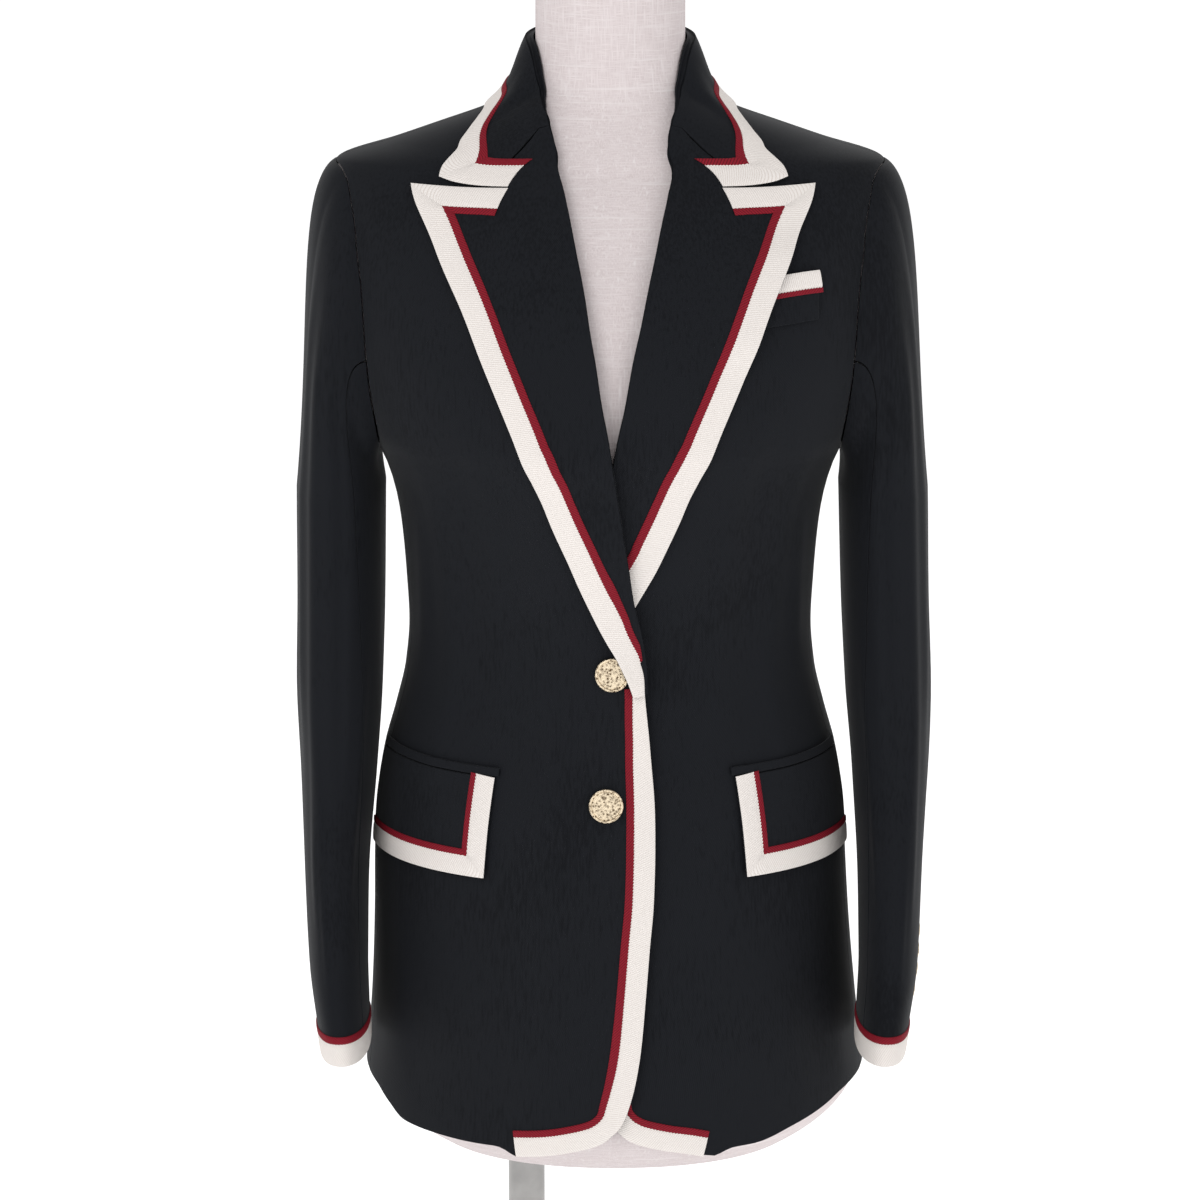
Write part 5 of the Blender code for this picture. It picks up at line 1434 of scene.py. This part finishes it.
def fold_columns(side, rows):
    """Points round the turned edge: a half circle from the cloth below to the cloth on top.

    It stands on the roll line, half the fold's thickness in radius, and its inner face has
    the same middle and a radius less by the wall.
    """
    path = roll_path(rows)
    turn, height = path.T
    radius = fold_radius(rows)[:, None]
    flat = panel_out(side, turn, height)
    bottom = skin(side, turn, height, flat - WALL)
    normal = unit(skin(side, turn, height, flat + 1.0) - skin(side, turn, height, flat))
    ahead, behind = roll_path(rows + ROW_STEP), roll_path(rows - ROW_STEP)
    along = unit(skin(side, *ahead.T) - skin(side, *behind.T))
    away = unit(np.cross(along, normal)) * side
    angles = np.radians(FOLD_ANGLES)
    centre = bottom + normal * radius - away * radius
    rise, spread = np.sin(angles)[None, :, None], np.cos(angles)[None, :, None]
    reach = radius[..., None]
    outer = centre[:, None] + reach * (rise * normal[:, None] + spread * away[:, None])
    tighter = np.maximum(reach - WALL, TIGHTEST)
    inner = centre[:, None] + tighter * (rise * normal[:, None] + spread * away[:, None])
    return outer, inner


def lapel_faces(side):
    """The outer and the inner face of a lapel, from inside its roll line out to its edge."""
    corners = (PEAK_ROW, GORGE_ROW)
    rows = finer(LAPEL_ROLL_ROWS[:, None], LAPEL_PER_ROW, corners)[:, 0]
    edge = finer(LAPEL_PATH, LAPEL_PER_ROW, corners)
    folds = fold_columns(side, rows)
    start = moved(side, roll_path(rows), -fold_radius(rows))
    grid = between(start, edge, LAPEL_SHARES)
    turn, height = grid[..., 0], grid[..., 1]
    out = folded_out(side, turn, height)
    flats = [skin(side, turn, height, out - down) for down in (0.0, WALL)]
    return [np.concatenate(pair, 1) for pair in zip(folds, flats)]


def lapel_braid(side, name):
    """The lapel's two braids, which end short of the roll line where the lapel is narrow."""
    path = finer(LAPEL_PATH[: GORGE_ROW + 1], LAPEL_PER_ROW, (PEAK_ROW,))
    # its ends slant: the one at the gorge over one row of LAPEL_EDGE, the lower one over two
    slanted = np.clip(1 - np.arange(len(path))[::-1] / LAPEL_PER_ROW, 0, 1)[:, None]
    lowered = np.clip(1 - np.arange(len(path)) / (2 * LAPEL_PER_ROW), 0, 1)
    made = []
    for colour, near, far in band(CREAM_WIDTH, BURGUNDY_WIDTH):
        edges = []
        for amount in (near, far):
            edge = inside(side, path, PEAK_ROW * LAPEL_PER_ROW, amount)
            edge = edge + BRAID_END * amount * slanted
            edge[:, 1] -= TIP_SLANT * amount * lowered
            turn, height = edge.T
            room = np.interp(amount, *ROLL_ROOM) * ramp(height, *ROOM_HEIGHTS) + LEAST_ROOM
            edges.append(paired(np.maximum(turn, roll_turn(height) + room), height))
        wide = edges[0][:, 0] - edges[1][:, 0]
        kept = (path[:, 1] > NARROW_BELOW) | (wide > LEAST_WIDTH)
        node = f"lapel_{name}_{colour}_braid"
        made.append(braid_piece(node, side, edges[0][kept], edges[1][kept], folded_out, colour))
    return made


for side, name in SIDES:
    lapel = wool_wall(f"lapel_{name}", lapel_faces(side))
    braids = lapel_braid(side, name)


# --- collar fall, with its braid -----------------------------------------------------------
# One piece of wool turned down from the stand, round the neck from notch to notch, with the
# same two braids along its lower edge.

# The collar's outer edge: its front end, its lower edge, its point, then round to the back.
# Hollow is how far the fall curves in towards the neck between its fold and its edge.
COLLAR_POINTS = table(
    "roll_row turn height hollow",
    (16.57, 16.1, 977.2, 0),
    (16.74, 21.5, 977.8, 0),
    (16.95, 27.5, 979.6, 0),
    (17.2, 32.2, 982.6, 0),
    (17.5, 33.6, 990.2, 0),
    (17.8, 37.3, 997, 0),
    (18.2, 43.0, 1002.8, 0),
    (18.7, 48.8, 1008.6, 0.5),
    (19.3, 57.6, 1014.6, 1.8),
    (20.3, 72.0, 1019.8, 3.4),
    (22.0, 90.0, 1021.8, 4.0),
    (22.55, 104.0, 1022.3, 3.4),
    (23.1, 119.0, 1022.5, 1.6),
    (23.6, 134.0, 1022.5, 0.4),
    (24.05, 149.0, 1022.5, 0),
    (24.5, 164.0, 1022.5, 0),
    (25.0, 180.0, 1022.5, 0),
)
POINT_ROW = 3  # the row at the collar's point
FALL_PER_ROW = 7
# The same columns with FALL_PER_ROW rows for each one, smooth on both sides of the point.
COLLAR_EDGE = {
    name: finer(column[:, None], FALL_PER_ROW, (POINT_ROW,))[:, 0]
    for name, column in COLLAR_POINTS.items()
}
COLLAR_PATH = paired(COLLAR_EDGE["turn"], COLLAR_EDGE["height"])
SPAN_ROWS = (17.7, 19.2)  # between these rows of the roll line the fall leaves the chest
BEHIND_ROWS = (17.8, 18.9)  # and its braid goes over to widths measured across the fall
HOLLOW_POWER = 1.6  # more puts the deepest place of the hollow nearer the edge

FALL_SHARES = np.linspace(0, 1, 24)


def collar_start(side):
    """Where the flat of the fall begins, at the top of its fold."""
    rows = COLLAR_EDGE["roll_row"]
    return moved(side, roll_path(rows), -fold_radius(rows))


def collar_lines(side):
    """The fall's straight lines beside and behind the neck: their ends and their normals.

    A normal is the cross product of its line and the lower edge's direction, turned outwards.
    """
    turn, height = COLLAR_PATH.T
    fold = fold_columns(side, COLLAR_EDGE["roll_row"])[0][:, -1]
    edge = skin(side, turn, height, folded_out(side, turn, height))
    upward = skin(side, turn, height, 1.0) - skin(side, turn, height)
    normal = unit(np.cross(edge - fold, np.gradient(edge, axis=0)))
    return fold, edge, normal * np.sign((normal * upward).sum(1))[:, None]


def collar_face(side, path, share, out=0.0):
    """A line of points along the collar's fall, at a share of the way from its fold to its edge.

    In front the fall lies on the chest, where path gives the (turn, height) of each point.
    Farther back it spans the hollow beside the neck, in a straight line from fold to edge that
    curves in by half a sine wave.
    """
    fold, edge, normal = collar_lines(side)
    share = np.broadcast_to(share, len(edge))[:, None]
    bow = np.sin(np.pi * np.clip(share, 0, 1) ** HOLLOW_POWER)
    hollow = COLLAR_EDGE["hollow"][:, None] * bow
    spanned = fold * (1 - share) + edge * share + (out - hollow) * normal
    laid = skin(side, *path.T, folded_out(side, *path.T) + out)
    spans = ramp(COLLAR_EDGE["roll_row"], *SPAN_ROWS)[:, None]
    return laid * (1 - spans) + spanned * spans


def fall_half(side, out):
    """Half of the fall: its turned edge, then its lines from the fold to the lower edge."""
    start = collar_start(side)
    lines = [collar_face(side, start + (COLLAR_PATH - start) * s, s, out) for s in FALL_SHARES]
    fold = fold_columns(side, COLLAR_EDGE["roll_row"])[0 if out == 0 else 1]
    return np.concatenate([fold, np.stack(lines, 1)], 1)


def fall_braid_half(side, near, far, rises):
    """Half of a strip of braid on the fall, at widths in from its edge, lifted by rises."""
    fold, edge = collar_lines(side)[:2]
    width = np.linalg.norm(edge - fold, axis=1)
    start = collar_start(side)
    behind = ramp(COLLAR_EDGE["roll_row"], *BEHIND_ROWS)[:, None]
    slanted = np.clip(1 - np.arange(len(COLLAR_PATH)) / FALL_PER_ROW, 0, 1)[:, None]
    ends = []
    for amount in (near, far):
        line = inside(side, COLLAR_PATH, POINT_ROW * FALL_PER_ROW, amount)
        line = line - BRAID_END * amount * slanted
        across = start + (COLLAR_PATH - start) * (1 - amount / width)[:, None]
        ends.append(line * (1 - behind) + across * behind)
    lines = []
    for across, rise in zip(BRAID_SHARES, rises):
        share = 1 - (near + (far - near) * across) / width
        line = ends[0] + (ends[1] - ends[0]) * across
        lines.append(collar_face(side, line, share, ON_CLOTH + rise))
    return np.stack(lines, 1)


collar_fall = wool_wall("collar_fall", [both_sides(fall_half, out) for out in (0.0, -WALL)])
for colour, near, far in band(CREAM_WIDTH, BURGUNDY_WIDTH):
    rises = (braid_heights(), 0 * braid_heights())
    faces = [both_sides(fall_braid_half, near, far, rise) for rise in rises]
    braid_wall(f"collar_{colour}_braid", faces, colour)


# --- pockets, with their braid ---------------------------------------------------------------
# A jetted pocket with a flap on each front, and a narrow welt for the breast pocket on the
# left one. The flaps hang a little proud of the front at their lower edge.

FLAP_FRONT = {RIGHT: 27.8, LEFT: 30.6}  # turn of the flap's front edge
FLAP_BACK = 79.0
FLAP_TOP, FLAP_BOTTOM, FLAP_SLANT = 597.0, 531.0, 1.2
JET_HEIGHTS = (597.9, 603.4)
FLAP_CREAM, FLAP_BURGUNDY = 13.0, 4.5

FLAP_BELLY = 1.4  # how far the flap stands off at its lower edge
FLAP_SETTLES = 52.0  # the turn from which it lies down again, towards its back edge
FLAP_CORNER, FLAP_PER_ROW = 2, 5  # the row of flap_path at its corner, and rows made for each
JET_OVERHANG = 0.8  # turns by which the jet starts before its flap
STRIP_COLUMNS, FLAP_ROWS, JET_ROWS = 60, 26, 5


def flap_path(side):
    """Down the flap's front edge and along its lower one."""
    top, bottom = FLAP_FRONT[side], FLAP_FRONT[side] + FLAP_SLANT
    front = np.array([[top, FLAP_TOP], [(top + bottom) / 2, (FLAP_TOP + FLAP_BOTTOM) / 2]])
    return np.vstack([front, paired(np.linspace(bottom, FLAP_BACK, 12), FLAP_BOTTOM)])


def laid_out(side, turn, height):
    """The outer face of a flap, jet or welt that lies on a front."""
    return panel_out(side, turn, height) + LAID + WALL


def flap_out(side, turn, height):
    """The flap's face: laid on the front, and standing off by a power of the way down."""
    down = np.clip((FLAP_TOP - height) / (FLAP_TOP - FLAP_BOTTOM), 0, 1.2)
    settled = 1 - ramp(turn, FLAP_SETTLES, FLAP_BACK)
    return laid_out(side, turn, height) + FLAP_BELLY * down**1.5 * settled


for side, name in SIDES:
    shares = np.linspace(0, 1, STRIP_COLUMNS)
    top = FLAP_FRONT[side] + (FLAP_BACK - FLAP_FRONT[side]) * shares
    bottom = top + FLAP_SLANT * (1 - shares)
    lower, upper = paired(bottom, FLAP_BOTTOM), paired(top, FLAP_TOP)
    grid = between(lower, upper, np.linspace(0, 1, FLAP_ROWS))
    flap = cloth_piece(f"pocket_flap_{name}", side, grid, flap_out)
    path = finer(flap_path(side), FLAP_PER_ROW, (FLAP_CORNER,))
    corner = FLAP_CORNER * FLAP_PER_ROW
    widths = (FLAP_CREAM, FLAP_BURGUNDY)
    braids = trim(f"flap_{name}", side, path, corner, flap_out, 1, widths)
    front = f"front_{name}_finished"
    turns = np.linspace(FLAP_FRONT[side] - JET_OVERHANG, FLAP_BACK, STRIP_COLUMNS)
    low, high = (paired(turns, height) for height in JET_HEIGHTS)
    strip = between(low, high, np.linspace(0, 1, JET_ROWS))
    cloth_piece(f"pocket_jet_{name}", side, strip, laid_out)

# The breast welt on the left front, part of it under the lapel.
WELT = table(
    "turn low high",
    (22.5, 892.9, 922.4),
    (26.0, 893.6, 923.6),
    (30.0, 894.5, 924.9),
    (35.8, 895.7, 926.2),
    (39.8, 896.4, 926.7),
)
WELT_LEAN = 2.2  # turns by which its ends lean outwards at the bottom
WELT_CREAM, WELT_BURGUNDY = 11.0, 3.6
WELT_ROWS = 14
welt_low = finer(paired(WELT["turn"] + WELT_LEAN, WELT["low"]), EDGE_PER_ROW)
welt_high = finer(paired(WELT["turn"], WELT["high"]), EDGE_PER_ROW)
welt_grid = between(welt_low, welt_high, np.linspace(0, 1, WELT_ROWS))
welt = cloth_piece("breast_welt", LEFT, welt_grid, laid_out)
welt_braids = trim("welt", LEFT, welt_high, None, laid_out, -1, (WELT_CREAM, WELT_BURGUNDY))


# --- front buttons ----------------------------------------------------------------------------
# Two round metal buttons, one above the other, sewn through the right front just inside the
# braid. The lapel's lower end turns up over the edge of the upper one.

FRONT_BUTTONS = (("upper", -0.35, 669.5), ("lower", 0.75, 583.0))
FRONT_BUTTON = {"radius": 11.25, "thick": 2.6, "lumps": 46}

for name, turn, height in FRONT_BUTTONS:
    out = panel_out(RIGHT, turn, height) + BUTTON_GAP
    at, further = skin(RIGHT, turn, height, out), skin(RIGHT, turn, height, out + 1.0)
    button_piece(f"front_button_{name}", at, further - at, **FRONT_BUTTON)


# --- floor, light and camera ------------------------------------------------------------------
# A plain pale floor that runs far back, soft light from all round and three large lamps, and
# the camera a little above the form and nearly three metres away.

CAMERA_FAR, CAMERA_HIGH = 2.8, 13.5  # metres, and degrees above the level
AIM = Vector((-0.0067, 0.0, 0.690))
FRAME_WIDTH, PIXEL = 1200, 0.00067  # the picture's width and the size of a pixel at the form
FLOOR_REACH = 30.0  # metres from the form to each side


def pale_floor():
    """A floor 60 metres wide of fine-grained pale paint, its top at the stand's underside."""
    made, add, wire = new_material(
        "pale_floor_paint",
        (0.9, 0.9, 0.9),
        0.8,
        Emission_Color=(1.0, 1.0, 1.0, 1.0),
        Emission_Strength=0.5,
    )
    place = add("TexCoord").outputs["Object"]
    grain = noise(add, place, 14.0, 4.0)
    wire("Base Color", colours_of(add, grain, (0.3, (0.91, 0.91, 0.91)), (0.7, (0.94, 0.94, 0.94))))
    mesh = bpy.data.meshes.new("floor")
    corners = ((-1, -1), (1, -1), (1, 1), (-1, 1))
    mesh.from_pydata([(FLOOR_REACH * x, FLOOR_REACH * y, 0) for x, y in corners], [], [(0, 1, 2, 3)])
    mesh.materials.append(made)
    floor = bpy.data.objects.new("floor", mesh)
    bpy.context.scene.collection.objects.link(floor)
    return floor


def lamp(name, at, size, power):
    """A square lamp of the given size in metres, turned to face the form."""
    light = bpy.data.lights.new(name, "AREA")
    light.shape = "SQUARE"
    light.size = size
    light.energy = power
    made = bpy.data.objects.new(name, light)
    made.location = at
    made.rotation_euler = (AIM - Vector(at)).to_track_quat("-Z", "Y").to_euler()
    bpy.context.scene.collection.objects.link(made)


pale_floor()
world = bpy.data.worlds.new("white_room")
world.use_nodes = True
world.node_tree.nodes["Background"].inputs["Color"].default_value = (1.0, 1.0, 1.0, 1.0)
world.node_tree.nodes["Background"].inputs["Strength"].default_value = 0.6
bpy.context.scene.world = world
lamp("key_lamp", (-1.6, -2.2, 2.4), 1.6, 24)
lamp("fill_lamp", (2.2, -1.8, 1.4), 1.8, 10)
lamp("back_lamp", (0.4, 2.2, 2.6), 1.6, 16)

lens = bpy.data.cameras.new("camera")
lens.sensor_width = 36.0
lens.lens = lens.sensor_width * CAMERA_FAR / (FRAME_WIDTH * PIXEL)
lens.clip_end = 100.0
camera = bpy.data.objects.new("camera", lens)
high = np.radians(CAMERA_HIGH)
camera.location = AIM + CAMERA_FAR * Vector((0, -np.cos(high), np.sin(high)))
camera.rotation_euler = (AIM - camera.location).to_track_quat("-Z", "Y").to_euler()
bpy.context.scene.collection.objects.link(camera)
bpy.context.scene.camera = camera
bpy.context.scene.view_settings.view_transform = "Standard"
